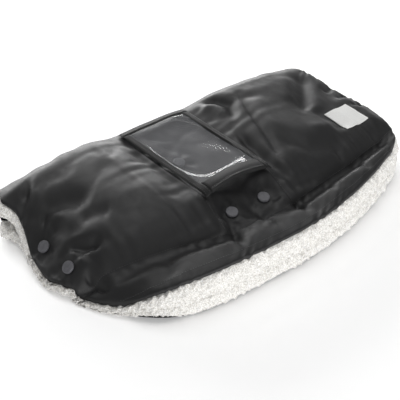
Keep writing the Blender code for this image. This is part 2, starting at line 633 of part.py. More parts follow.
def pocket(assembly):
    """Clear window, hem at its mouth and the bindings round it."""
    edge = 1 - BINDING_WIDTH / HALF_POCKET
    inner = [share for share in CENTRE_COLUMN_SHARES if share < edge]
    middle = np.array([-edge] + [-share for share in reversed(inner)] + inner[1:] + [edge])
    full = np.array([-1.0] + list(middle) + [1.0])
    lip_row = pocket_row(MOUTH_SETBACK + HEM_LIP)
    hem_row = pocket_row(MOUTH_SETBACK + HEM_DEPTH)
    tape_row = pocket_row(MOUTH_SETBACK + POCKET_LENGTH - BACK_BINDING_WIDTH)
    inner_rows = between(grid_rows(), lip_row, tape_row)
    film_rows = np.unique(np.concatenate([[lip_row, hem_row, tape_row, POCKET_BACK_ROW], inner_rows]))
    side_rows = np.concatenate([[MOUTH_ROW], film_rows[:-1]])
    top = -LAYER_GAP - BINDING_THICKNESS

    def slab(name, columns, rows, thick, foot, gaps, finish):
        count = len(rows)
        mesh = strip(columns, rows, [thick] * count, foot, gaps)
        assembly.add(name, mesh, finish, True)

    window_feet = [FILM_THICKNESS] * len(film_rows)
    slab("pocket_window", full, film_rows, 0.0, window_feet, (LAYER_GAP, LAYER_GAP, 0.0, 0.0), assembly.film)
    hem_rows = np.concatenate([[MOUTH_ROW], between(film_rows, lip_row, hem_row)])
    hem_feet = [FILM_THICKNESS] + [-LAYER_GAP] * (len(hem_rows) - 1)
    slab("pocket_hem", middle, hem_rows, top, hem_feet, (LAYER_GAP, LAYER_GAP, 0.0, 0.0), assembly.binding)
    side_feet = [-LAYER_GAP] * len(side_rows)
    end_gap = (0.0, 0.0, 0.0, LAYER_GAP)
    slab("pocket_binding_left", full[:2], side_rows, top, side_feet, end_gap, assembly.binding)
    slab("pocket_binding_right", full[-2:], side_rows, top, side_feet, end_gap, assembly.binding)
    back_rows = np.array([tape_row, POCKET_BACK_ROW])
    slab("pocket_binding_back", full, back_rows, top, [-LAYER_GAP] * 2, (0.0,) * 4, assembly.binding)


def woven_label(assembly):
    """Square label that follows the right panel's cloth."""
    shell = bpy.data.objects["upper_shell_right"]
    corners = [vertex.co for vertex in shell.data.vertices]
    tree = BVHTree.FromPolygons(corners, [tuple(face.vertices) for face in shell.data.polygons])
    steps = np.linspace(-LABEL_SIZE / 2, LABEL_SIZE / 2, LABEL_CELLS + 1)
    centre = (CENTRE_X + RIGHT_REACH - LABEL_SETBACK, SEAM_Y + LABEL_BEHIND_SEAM)
    outer = []
    for v in steps:
        line = []
        for u in steps:
            x = centre[0] + u * math.cos(LABEL_TURN) - v * math.sin(LABEL_TURN)
            y = centre[1] + u * math.sin(LABEL_TURN) + v * math.cos(LABEL_TURN)
            hit = tree.ray_cast(Vector((x, y, CREST_HEIGHT * 2)), Vector((0, 0, -1)))[0]
            line.append((x, y, hit.z + LABEL_LIFT + LABEL_THICKNESS))
        outer.append(line)
    outer = np.array(outer)
    foot = outer - np.array([0.0, 0.0, LABEL_THICKNESS])
    assembly.add("label", grid_solid(outer, foot), assembly.label, True)


def main():
    clear_scene()
    assembly = Assembly()
    cutter = hole_cutter(assembly)
    upper_panels(assembly, cutter)
    lower_panels(assembly, cutter)
    linings(assembly, cutter)
    snap_pieces(assembly)
    pocket(assembly)
    woven_label(assembly)


main()
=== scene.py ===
"""Looks of a stroller hand muff: satin shell, teddy fleece, phone pocket, press studs and label.

The muff lies on a pale floor. X runs along the handlebar, the fold is at the back (+Y) and
the mouth at the front (-Y). A place on the quilt is a column and a row. Columns -1 to 1 span
the pocket's channel and run on to -2 at the left end and 2 at the right end. Row -1 is the
front edge, row 0 the crosswise seam and row 1 the fold.
"""
from __future__ import annotations

import logging
import math
from dataclasses import dataclass, field
from enum import Enum

import bmesh
import bpy
import numpy as np
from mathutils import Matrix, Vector


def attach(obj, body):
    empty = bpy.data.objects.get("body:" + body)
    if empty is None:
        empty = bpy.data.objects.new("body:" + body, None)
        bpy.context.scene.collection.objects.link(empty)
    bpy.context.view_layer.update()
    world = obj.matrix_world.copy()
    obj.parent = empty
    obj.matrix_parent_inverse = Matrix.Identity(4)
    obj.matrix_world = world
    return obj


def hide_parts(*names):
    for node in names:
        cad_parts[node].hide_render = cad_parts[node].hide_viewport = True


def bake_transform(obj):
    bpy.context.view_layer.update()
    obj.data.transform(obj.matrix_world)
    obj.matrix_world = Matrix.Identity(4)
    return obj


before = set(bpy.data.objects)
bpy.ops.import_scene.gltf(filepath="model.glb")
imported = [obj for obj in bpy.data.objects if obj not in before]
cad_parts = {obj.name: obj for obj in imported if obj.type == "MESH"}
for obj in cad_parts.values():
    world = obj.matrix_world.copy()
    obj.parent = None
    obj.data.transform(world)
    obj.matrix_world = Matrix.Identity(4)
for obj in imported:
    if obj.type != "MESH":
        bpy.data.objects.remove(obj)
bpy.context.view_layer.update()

log = logging.getLogger("hand_muff")
Array = np.ndarray
Socket = bpy.types.NodeSocket


class Half(Enum):
    """The two halves of the folded quilt, by the body that each rides on."""

    UPPER = "upper_half"
    LOWER = "lower_half"


def linear(code: str) -> tuple[float, float, float, float]:
    """Turn an sRGB hex colour into linear red, green, blue and alpha.

    Args:
        code: Six hex digits.

    Returns:
        Linear components, with alpha 1.
    """
    parts = [int(code[i:i + 2], 16) / 255 for i in (0, 2, 4)]
    red, green, blue = [c / 12.92 if c <= 0.04045 else ((c + 0.055) / 1.055) ** 2.4 for c in parts]
    return red, green, blue, 1.0


def smooth_step(t: Array) -> Array:
    """Ease from 0 to 1: three t squared less two t cubed, with t held to 0 to 1."""
    t = np.clip(t, 0.0, 1.0)
    return t * t * (3 - 2 * t)


def unit(vectors: Array) -> Array:
    """Vectors divided by their lengths."""
    return vectors / np.maximum(np.linalg.norm(vectors, axis=-1, keepdims=True), 1e-12)


@dataclass(frozen=True)
class QuiltForm:
    """Form of the folded quilt, as heights over a plan of columns and rows. Sizes in metres."""

    centre_x: float = -0.0105
    half_pocket: float = 0.0506
    left_reach: float = 0.245
    right_reach: float = 0.266
    front_y: float = -0.145
    seam_y: float = -0.096
    fold_y: float = 0.145
    crest_y: float = 0.103
    band_depth: float = 0.049
    fold_height: float = 0.042
    crest_height: float = 0.087
    thickness: float = 0.017
    lip_gap: float = 0.003
    front_sweeps: tuple[float, float] = (0.055, 0.057)
    seam_sweeps: tuple[float, float] = (0.0605, 0.040)
    front_powers: tuple[float, float] = (5.5, 1.9)
    seam_powers: tuple[float, float] = (1.85, 1.6)
    stations: tuple[float, ...] = (-1.0, -0.5, 0.0, 0.118, 0.174, 0.30, 0.55, 0.75, 1.0)
    panel: tuple[float, ...] = (0.575, 0.632, 0.605, 0.760, 0.825, 0.915, 0.985, 1.0, 1.0)
    seam: tuple[float, ...] = (0.565, 0.598, 0.575, 0.745, 0.840, 0.875, 0.885, 0.895, 0.910)
    sag: tuple[float, ...] = (0.0, 0.010, 0.020, 0.200, 0.200, 0.138, 0.095, 0.070, 0.0)
    left_end: tuple[float, ...] = (0.170, 0.155, 0.195, 0.235, 0.255, 0.285, 0.360, 0.610, 0.760)
    right_end: tuple[float, ...] = (0.530, 0.560, 0.575, 0.600, 0.605, 0.620, 0.675, 0.795, 0.865)
    left_plan: tuple[float, ...] = (0.805, 0.870, 0.908, 0.920, 0.930, 0.955, 0.940, 0.893, 0.885)
    left_ear: tuple[float, float, float] = (0.030, 0.875, 0.045)
    right_plan: tuple[float, ...] = (0.845, 0.930, 0.970, 0.985, 0.990, 1.0, 0.980, 0.945, 0.910)
    panel_rise: float = 0.28
    left_fall: tuple[float, ...] = (3.2, 2.6, 2.0, 1.75, 1.65, 1.6, 1.6, 1.6, 1.6)
    right_fall: tuple[float, ...] = (2.8, 2.6, 2.2, 1.8, 1.6, 1.4, 1.7, 2.8, 2.8)

    @property
    def span(self) -> float:
        """Depth from the crosswise seam to the fold."""
        return self.fold_y - self.seam_y

    def at_rows(self, rows: Array, shares: tuple[float, ...]) -> Array:
        """Read a smooth cubic curve through the station shares.

        Args:
            rows: Rows to read at.
            shares: One value for each station.

        Returns:
            Values at the rows.
        """
        stations, values = np.array(self.stations), np.array(shares)
        slopes = np.gradient(values, stations)
        index = np.clip(np.searchsorted(stations, rows, side="right") - 1, 0, len(stations) - 2)
        span = stations[index + 1] - stations[index]
        t = np.clip((rows - stations[index]) / span, 0.0, 1.0)
        low = (2 * t**3 - 3 * t**2 + 1) * values[index] + (t**3 - 2 * t**2 + t) * span * slopes[index]
        high = (3 * t**2 - 2 * t**3) * values[index + 1] + (t**3 - t**2) * span * slopes[index + 1]
        return low + high

    def plan(self, columns: Array, rows: Array) -> tuple[Array, Array]:
        """Plan place of points: columns spread to the ends, rows swept back towards the corners.

        Args:
            columns: Columns from -2 to 2.
            rows: Rows from -1 to 1.

        Returns:
            X and Y.
        """
        side = np.clip(np.abs(columns) - 1.0, 0.0, None)
        left = columns < 0
        size, place, width = self.left_ear
        ear = size * np.exp(-((rows - place) / width)**2)
        reach = np.where(left, self.left_reach * (self.at_rows(rows, self.left_plan) + ear),
                         self.right_reach * self.at_rows(rows, self.right_plan))
        out = np.clip(np.abs(columns), 0.0, 1.0) * self.half_pocket + (reach - self.half_pocket) * side
        across = out / reach
        front = np.where(left, self.front_sweeps[0] * across**self.front_powers[0],
                         self.front_sweeps[1] * across**self.front_powers[1])
        seam = np.where(left, self.seam_sweeps[0] * across**self.seam_powers[0],
                        self.seam_sweeps[1] * across**self.seam_powers[1])
        behind, ahead = np.clip(rows, 0.0, 1.0), np.clip(-rows, 0.0, 1.0)
        y = (self.seam_y + behind * self.span + seam * (1 - behind)**3
             + ahead * (self.front_y + front - self.seam_y - seam))
        return self.centre_x + np.where(left, -out, out), y

    def locate(self, x: Array, y: Array) -> tuple[Array, Array]:
        """Find the columns and rows of places in plan, by Newton's steps.

        Args:
            x: X of places.
            y: Y of places.

        Returns:
            Columns and rows.
        """
        columns = np.sign(x - self.centre_x) * (1 + np.abs(x - self.centre_x) / self.right_reach) / 1.3
        rows = (y - self.seam_y) / self.span
        step = 1e-4
        for _ in range(20):
            x0, y0 = self.plan(columns, rows)
            xc, yc = self.plan(columns + step, rows)
            xr, yr = self.plan(columns, rows + step)
            a, b, c, d = (xc - x0) / step, (xr - x0) / step, (yc - y0) / step, (yr - y0) / step
            det = a * d - b * c
            miss_x, miss_y = x - x0, y - y0
            columns = np.clip(columns + (d * miss_x - b * miss_y) / det, -2.0, 2.0)
            rows = np.clip(rows + (a * miss_y - c * miss_x) / det, -1.0, 1.0)
        return columns, rows

    def natural_height(self, columns: Array, rows: Array) -> Array:
        """Top of the quilt before studs and folds: seams low, panels high, falling to the ends.

        Args:
            columns: Columns from -2 to 2.
            rows: Rows from -1 to 1.

        Returns:
            Heights.
        """
        side = np.clip(np.abs(columns) - 1.0, 0.0, 1.0)
        panel, seam, sag, left, right = [self.crest_height * self.at_rows(rows, shares) for shares in
                                         (self.panel, self.seam, self.sag, self.left_end, self.right_end)]
        rise = smooth_step(side / self.panel_rise)
        fall = np.clip((side - self.panel_rise) / (1 - self.panel_rise), 0.0, 1.0)
        end = np.where(columns < 0, left, right)
        power = np.where(columns < 0, self.at_rows(rows, self.left_fall), self.at_rows(rows, self.right_fall))
        height = seam + (panel - seam) * rise + (end - panel) * fall**power
        return height - sag * np.clip(1.0 - np.clip(np.abs(columns), 0.0, 1.0)**2, 0.0, 1.0)

    def wrap(self, x: Array, y: Array, z: Array, depth: Array | float = 0.0) -> Array:
        """Bend flat ground behind the crest round the fold, as a quarter of an ellipse.

        Args:
            x: X of points.
            y: Y of points before the bend, up to the fold.
            z: Heights of points before the bend.
            depth: Depth of points below the outer face.

        Returns:
            Points, with X, Y and Z along the last axis.
        """
        radius = self.fold_y - self.crest_y
        q = np.clip((y - self.crest_y) / radius, 0.0, 1.0)
        rise = np.sqrt(1 - q**2)
        bent_y = np.where(q > 0, self.crest_y + (radius - depth) * q, y)
        bent_z = np.where(q > 0, self.fold_height + (z - self.fold_height) * rise, z)
        return np.stack(np.broadcast_arrays(x, bent_y, bent_z), axis=-1)


@dataclass(frozen=True)
class Stud:
    """Place of a press stud and the heights that its parts hold the quilt at.

    Seat is the cap's height and under the post's. Join is the height at which the halves meet, or
    None where the stud is open. Slope is the rise along X and along Y that the cloth gives the cap.
    The quilt is level out to flat and swells again over fade.
    """

    name: str
    x: float
    y: float
    seat: float
    join: float | None
    under: float
    slope: tuple[float, float]
    fade: float = 0.0190
    flat: float = 0.0085
    tilt_reach: float = 0.012
    open_gap: float = 0.0133
    socket_rise: float = 0.00195
    foot_drop: float = 0.00115

    def tilt(self, x: Array, y: Array) -> Array:
        """Height of the cap's plane over its middle, level past the puckers."""
        return (self.slope[0] * np.clip(x - self.x, -self.tilt_reach, self.tilt_reach)
                + self.slope[1] * np.clip(y - self.y, -self.tilt_reach, self.tilt_reach))

    def pull(self, x: Array, y: Array, level: float, fade: float) -> Array:
        """How firmly the stud holds places: 1 within a level circle, and 0 past the fade."""
        return 1 - smooth_step((np.hypot(x - self.x, y - self.y) - level) / fade)

    def faces(self) -> tuple[float, float]:
        """Heights of the socket's top and of the ball's foot."""
        if self.join is None:
            return self.seat - self.open_gap, self.under + self.open_gap
        return self.join + self.socket_rise, self.join - self.foot_drop


STUDS = (
    Stud("centre_left", -0.0351, -0.0676, 0.0500, 0.0300, 0.0150, (0.10, 0.27)),
    Stud("centre_right", 0.0141, -0.0676, 0.0500, 0.0300, 0.0150, (0.10, 0.27)),
    Stud("end_front", -0.2265, -0.0115, 0.0290, 0.0175, 0.0050, (0.95, 0.05), 0.0220),
    Stud("end_back", -0.2265, 0.0385, 0.0290, 0.0175, 0.0050, (0.95, 0.05), 0.0220),
    Stud("bar", -0.0351, 0.0315, 0.0692, None, 0.0040, (0.0, 0.12)),
)


@dataclass(frozen=True)
class Crease:
    """A fold of the cloth along a path in plan. A negative height is a valley."""

    path: tuple[tuple[float, float], ...]
    height: float
    width: float
    fade: float = 0.25
    least: float = 0.15

    def heights(self, x: Array, y: Array) -> Array:
        """A bell across the path, that fades over a quarter of the path at both of its ends.

        Args:
            x: X of points.
            y: Y of points.

        Returns:
            Heights.
        """
        best, along = np.full(x.shape, np.inf), np.zeros(x.shape)
        corners = np.array(self.path)
        ways = np.diff(corners, axis=0)
        lengths = np.linalg.norm(ways, axis=1)
        starts = np.concatenate([[0.0], np.cumsum(lengths)])
        for corner, way, start, length in zip(corners, ways, starts, lengths):
            run = way / length
            dx, dy = x - corner[0], y - corner[1]
            t = np.clip(dx * run[0] + dy * run[1], 0.0, length)
            distance = np.hypot(dx - t * run[0], dy - t * run[1])
            nearer = distance < best
            best = np.where(nearer, distance, best)
            along = np.where(nearer, (start + t) / starts[-1], along)
        ends = smooth_step(along / self.fade) * smooth_step((1 - along) / self.fade)
        return self.height * np.exp(-(best / self.width)**2) * (self.least + (1 - self.least) * ends)


@dataclass(frozen=True)
class Gathers:
    """Short gathers square to a seam: spacing, height at the seam, reach across it and phase."""

    pitch: float
    height: float
    reach: float
    phase: float

    def heights(self, distance: Array, along: Array) -> Array:
        """Uneven waves along the seam, that die away across it.

        Args:
            distance: Distance from the seam.
            along: Length along the seam.

        Returns:
            Heights.
        """
        turn, phase = 2 * math.pi * along / self.pitch, self.phase
        wave = (np.sin(turn + phase + 1.3 * np.sin(turn * 0.31 + phase * 2.1))
                + 0.6 * np.sin(turn * 1.73 + phase * 3.7 + 0.9 * np.sin(turn * 0.23)))
        strength = 0.55 + 0.45 * np.sin(turn * 0.17 + phase * 5.0)
        spread = self.reach * (0.8 + 0.35 * np.sin(turn * 0.41 + phase * 1.7))
        return self.height * wave * strength * np.exp(-np.abs(distance) / spread)


@dataclass(frozen=True)
class BackWrinkles:
    """Upright wrinkles of the cloth round the back of the fold, none along the fold's own line.

    Each wave is its pitch, share, phase, swing, pitch of the swing, and slant up the back.
    """

    form: QuiltForm
    height: float = 0.0013
    clear: float = 0.011
    patch: float = 0.170
    waves: tuple[tuple[float, ...], ...] = (
        (0.047, 1.0, 0.0, 1.4, 0.160, 22.0), (0.029, 0.7, 2.0, 1.2, 0.110, -35.0),
        (0.083, 0.5, 4.0, 0.0, 1.0, 60.0))

    def stand_out(self, x: Array, y: Array, z: Array) -> Array:
        """How far the cloth stands out.

        Args:
            x: X of points.
            y: Y of points before the bend.
            z: Heights of points before the bend.

        Returns:
            Distances.
        """
        form = self.form
        q = np.clip((y - form.crest_y) / (form.fold_y - form.crest_y), 0.0, 1.0)
        rise = (z - form.fold_height) * np.sqrt(1 - q**2)
        turn = 2 * math.pi * x
        wave = sum(share * np.sin(turn / pitch + phase + swing * np.sin(turn / swing_pitch) + slant * rise)
                   for pitch, share, phase, swing, swing_pitch, slant in self.waves)
        strength = 0.55 + 0.45 * np.sin(turn / self.patch + 1.0)
        return self.height * wave * strength * (1 - np.exp(-(rise / self.clear)**2))


FOLDS: tuple[Crease, ...] = (
    # Left end: the back corner's crease, the two drags to the press studs and the pinched corner.
    Crease(((-0.186, 0.124), (-0.205, 0.104), (-0.217, 0.093)), -0.0042, 0.0048),
    Crease(((-0.222, 0.048), (-0.209, 0.061), (-0.200, 0.066), (-0.183, 0.055), (-0.162, 0.028)),
           -0.0070, 0.0140),
    Crease(((-0.218, 0.050), (-0.212, 0.060), (-0.205, 0.066)), -0.0036, 0.0032),
    Crease(((-0.192, 0.022), (-0.172, 0.010), (-0.156, -0.003)), -0.0036, 0.0100),
    Crease(((-0.198, 0.007), (-0.179, -0.011), (-0.158, -0.035)), 0.0006, 0.0090),
    Crease(((-0.222, 0.004), (-0.212, 0.000), (-0.200, -0.013), (-0.186, -0.024)), -0.0095, 0.0062),
    Crease(((-0.219, -0.028), (-0.214, -0.048), (-0.210, -0.068)), -0.0060, 0.0034),
    Crease(((-0.240, -0.034), (-0.228, -0.042), (-0.214, -0.048)), -0.0060, 0.0034),
    Crease(((-0.240, 0.014), (-0.214, 0.012), (-0.190, 0.016)), -0.0030, 0.0110),
    Crease(((-0.158, 0.044), (-0.148, 0.022), (-0.137, -0.009)), 0.0016, 0.0150),
    Crease(((-0.205, -0.030), (-0.180, -0.040), (-0.150, -0.050)), 0.0016, 0.0120),
    Crease(((-0.126, 0.078), (-0.112, 0.040), (-0.108, 0.000)), -0.0018, 0.0160),
    Crease(((-0.090, 0.094), (-0.074, 0.070), (-0.071, 0.030), (-0.070, -0.030)), -0.0028, 0.0070),
    # Right of the pocket: the arc behind it, the groove beside it and the crease along the groove.
    Crease(((0.060, 0.122), (0.077, 0.102), (0.085, 0.079), (0.075, 0.058), (0.068, 0.047)), -0.0055, 0.0062),
    Crease(((0.058, 0.108), (0.068, 0.088), (0.066, 0.064)), 0.0030, 0.0080),
    Crease(((0.058, 0.030), (0.054, 0.008), (0.048, -0.044), (0.046, -0.072)), -0.0085, 0.0072),
    Crease(((0.107, 0.088), (0.089, 0.036), (0.073, -0.015), (0.060, -0.051)), -0.0034, 0.0048),
    Crease(((0.098, 0.090), (0.078, 0.036), (0.064, -0.012)), 0.0018, 0.0110),
    Crease(((0.122, 0.080), (0.104, 0.036), (0.089, -0.010)), 0.0020, 0.0140),
    Crease(((0.087, 0.000), (0.096, -0.026), (0.111, -0.044), (0.150, -0.050), (0.180, -0.046)),
           -0.0044, 0.0135),
    # Right end: the deep valley from the back, and the drags about the label.
    Crease(((0.226, 0.097), (0.199, 0.065), (0.166, 0.028), (0.150, 0.010)), -0.0062, 0.0120),
    Crease(((0.204, 0.094), (0.178, 0.064), (0.150, 0.040)), 0.0016, 0.0160),
    Crease(((0.238, 0.075), (0.214, 0.046), (0.192, 0.020)), 0.0012, 0.0140),
    Crease(((0.250, 0.060), (0.232, 0.050), (0.220, 0.046)), -0.0036, 0.0060),
    Crease(((0.252, 0.034), (0.236, 0.028), (0.226, 0.026)), -0.0030, 0.0050),
    Crease(((0.253, 0.006), (0.238, 0.002), (0.228, 0.004)), -0.0030, 0.0050),
    Crease(((0.184, -0.016), (0.160, -0.022), (0.132, -0.018)), 0.0020, 0.0100),
    Crease(((0.226, 0.040), (0.233, 0.008), (0.232, -0.030), (0.224, -0.056)), 0.0062, 0.0150),
    Crease(((0.176, 0.024), (0.182, -0.010), (0.184, -0.040)), -0.0050, 0.0150),
    Crease(((0.066, 0.100), (0.110, 0.106), (0.160, 0.108), (0.205, 0.104)), 0.0046, 0.0330),
    Crease(((0.141, -0.056), (0.140, -0.074)), -0.0022, 0.0040),
    Crease(((0.149, -0.075), (0.153, -0.092), (0.157, -0.109)), -0.0022, 0.0050),
    Crease(((0.205, -0.052), (0.212, -0.068), (0.220, -0.082)), -0.0018, 0.0055),
    Crease(((0.092, -0.088), (0.090, -0.104), (0.086, -0.118)), -0.0018, 0.0050),
    # Front: the ridge below the press studs and the creases in line with the pocket's seams.
    Crease(((-0.030, -0.089), (-0.019, -0.095), (-0.015, -0.107), (-0.018, -0.122)), 0.0032, 0.0058),
    Crease(((-0.046, -0.066), (-0.053, -0.090), (-0.060, -0.108), (-0.070, -0.128)), -0.0042, 0.0050),
    Crease(((0.044, -0.086), (0.040, -0.105), (0.033, -0.126)), -0.0036, 0.0050),
    Crease(((-0.004, -0.080), (-0.012, -0.096), (-0.020, -0.112)), -0.0022, 0.0040),
    Crease(((0.018, -0.078), (0.034, -0.085)), 0.0024, 0.0045),
    Crease(((0.022, -0.060), (0.026, -0.050)), -0.0024, 0.0035),
    Crease(((-0.028, -0.060), (-0.024, -0.048)), -0.0024, 0.0035),
    Crease(((0.000, -0.066), (-0.008, -0.060)), 0.0018, 0.0045),
    Crease(((-0.150, -0.088), (-0.152, -0.104), (-0.160, -0.120)), -0.0016, 0.0060),
    Crease(((-0.100, -0.094), (-0.104, -0.112)), -0.0014, 0.0050),
)


class Settling:
    """Heights that a cloth simulation adds to the upper cloth between its seams, studs and edges.

    The cloth is cut a little larger than the form, is held at its seams, studs and free edges,
    and is blown up gently from below, so that it wrinkles as sewn padding does.
    """

    CELL = 0.0044
    FRAMES = 20
    CAP = 0.0022
    HELD_REACH = 0.006
    CREST_REACH = 0.012
    LEVELS = 16
    RULES = {
        "quality": 6, "mass": 0.15, "tension_stiffness": 18.0, "compression_stiffness": 18.0,
        "shear_stiffness": 6.0, "bending_stiffness": 0.8, "air_damping": 2.0, "vertex_group_mass": "held",
        "pin_stiffness": 2.0, "shrink_min": -0.018, "use_pressure": True, "uniform_pressure_force": 2.5,
    }

    def __init__(self, top: "PaddedTop") -> None:
        """Lay out the net, run the simulation and keep its heights."""
        form = top.form
        left, right = form.left_reach - form.half_pocket, form.right_reach - form.half_pocket
        runs = [np.linspace(-2, -1, self.cells(left)),
                np.linspace(-1, 1, self.cells(2 * form.half_pocket))[1:],
                np.linspace(1, 2, self.cells(right))[1:]]
        self.columns = np.concatenate(runs)
        self.rows = np.concatenate([np.linspace(-1, 0, self.cells(form.band_depth)),
                                    np.linspace(0, 1, self.cells(form.span))[1:]])
        self.heights = self.settle(top)

    def cells(self, length: float) -> int:
        """Number of net lines over a length."""
        return int(round(length / self.CELL)) + 1

    def held(self, top: "PaddedTop", columns: Array, rows: Array) -> Array:
        """How firmly each knot of the net is held, from 0, free, to 1, fixed.

        Args:
            top: The upper surface.
            columns: Columns of the knots.
            rows: Rows of the knots.

        Returns:
            Weights.
        """
        x, y = top.form.plan(columns, rows)
        seam = (np.abs(rows) < 1e-6) | ((np.abs(np.abs(columns) - 1) < 1e-6) & (rows > -1e-6))
        hold = np.maximum(seam, 1 - smooth_step(top.edge_distance(columns, rows) / self.HELD_REACH))
        hold = np.maximum(hold, smooth_step((y - top.form.crest_y + self.CREST_REACH) / self.CREST_REACH))
        for stud in STUDS:
            hold = np.maximum(hold, stud.pull(x, y, stud.flat, self.HELD_REACH))
        return hold

    def settle(self, top: "PaddedTop") -> Array:
        """Run Blender's cloth on the net and measure how far each knot rose.

        Args:
            top: The upper surface.

        Returns:
            Heights at the knots, held within the cap by a hyperbolic tangent.
        """
        columns, rows = np.meshgrid(self.columns, self.rows)
        x, y = top.form.plan(columns, rows)
        start = np.stack([x, y, top.flat_height(columns, rows, settled=False)], axis=-1)
        data = bpy.data.meshes.new("cloth_net")
        data.from_pydata(start.reshape(-1, 3).tolist(), [], grid_quads(*columns.shape).tolist())
        net = bpy.data.objects.new("cloth_net", data)
        bpy.context.scene.collection.objects.link(net)
        group = net.vertex_groups.new(name="held")
        hold = self.held(top, columns, rows).reshape(-1)
        levels = np.round(hold * self.LEVELS).astype(int)
        for level in range(1, self.LEVELS + 1):
            group.add(np.flatnonzero(levels == level).tolist(), level / self.LEVELS, "REPLACE")
        cloth = net.modifiers.new("settling", "CLOTH")
        for rule, value in self.RULES.items():
            setattr(cloth.settings, rule, value)
        cloth.settings.effector_weights.gravity = 0.0
        cloth.collision_settings.use_collision = False
        cloth.point_cache.frame_start, cloth.point_cache.frame_end = 1, self.FRAMES
        scene = bpy.context.scene
        for frame_number in range(1, self.FRAMES + 1):
            scene.frame_set(frame_number)
        shaped = net.evaluated_get(bpy.context.evaluated_depsgraph_get()).data
        places = np.empty(len(data.vertices) * 3)
        shaped.vertices.foreach_get("co", places)
        scene.frame_set(1)
        rise = places.reshape(start.shape)[..., 2] - start[..., 2]
        bpy.data.objects.remove(net)
        bpy.data.meshes.remove(data)
        log.info("cloth settled: %.1f to %.1f mm", rise.min() * 1000, rise.max() * 1000)
        for axis in (0, 1):
            ahead, behind = np.roll(rise, -1, axis), np.roll(rise, 1, axis)
            rise = np.where(hold.reshape(rise.shape) > 0.9, rise, 0.5 * rise + 0.25 * (ahead + behind))
        return self.CAP * np.tanh(rise / self.CAP)

    def read(self, columns: Array, rows: Array) -> Array:
        """Heights at any columns and rows, by the cubic through the four knots beside, both ways.

        Args:
            columns: Columns of points.
            rows: Rows of points.

        Returns:
            Heights.
        """
        high = (len(self.rows) - 1, len(self.columns) - 1)
        places = (np.interp(rows, self.rows, np.arange(high[0] + 1.0)),
                  np.interp(columns, self.columns, np.arange(high[1] + 1.0)))
        starts = [np.minimum(place.astype(int), top - 1) for place, top in zip(places, high)]
        weights = []
        for place, start in zip(places, starts):
            t = place - start
            weights.append((0.5 * (2 * t**2 - t - t**3), 0.5 * (2 - 5 * t**2 + 3 * t**3),
                            0.5 * (t + 4 * t**2 - 3 * t**3), 0.5 * (t**3 - t**2)))
        total = np.zeros(np.broadcast(rows, columns).shape)
        for i in range(4):
            for j in range(4):
                knot_row = np.clip(starts[0] + i - 1, 0, high[0])
                knot_column = np.clip(starts[1] + j - 1, 0, high[1])
                total += weights[0][i] * weights[1][j] * self.heights[knot_row, knot_column]
        return total


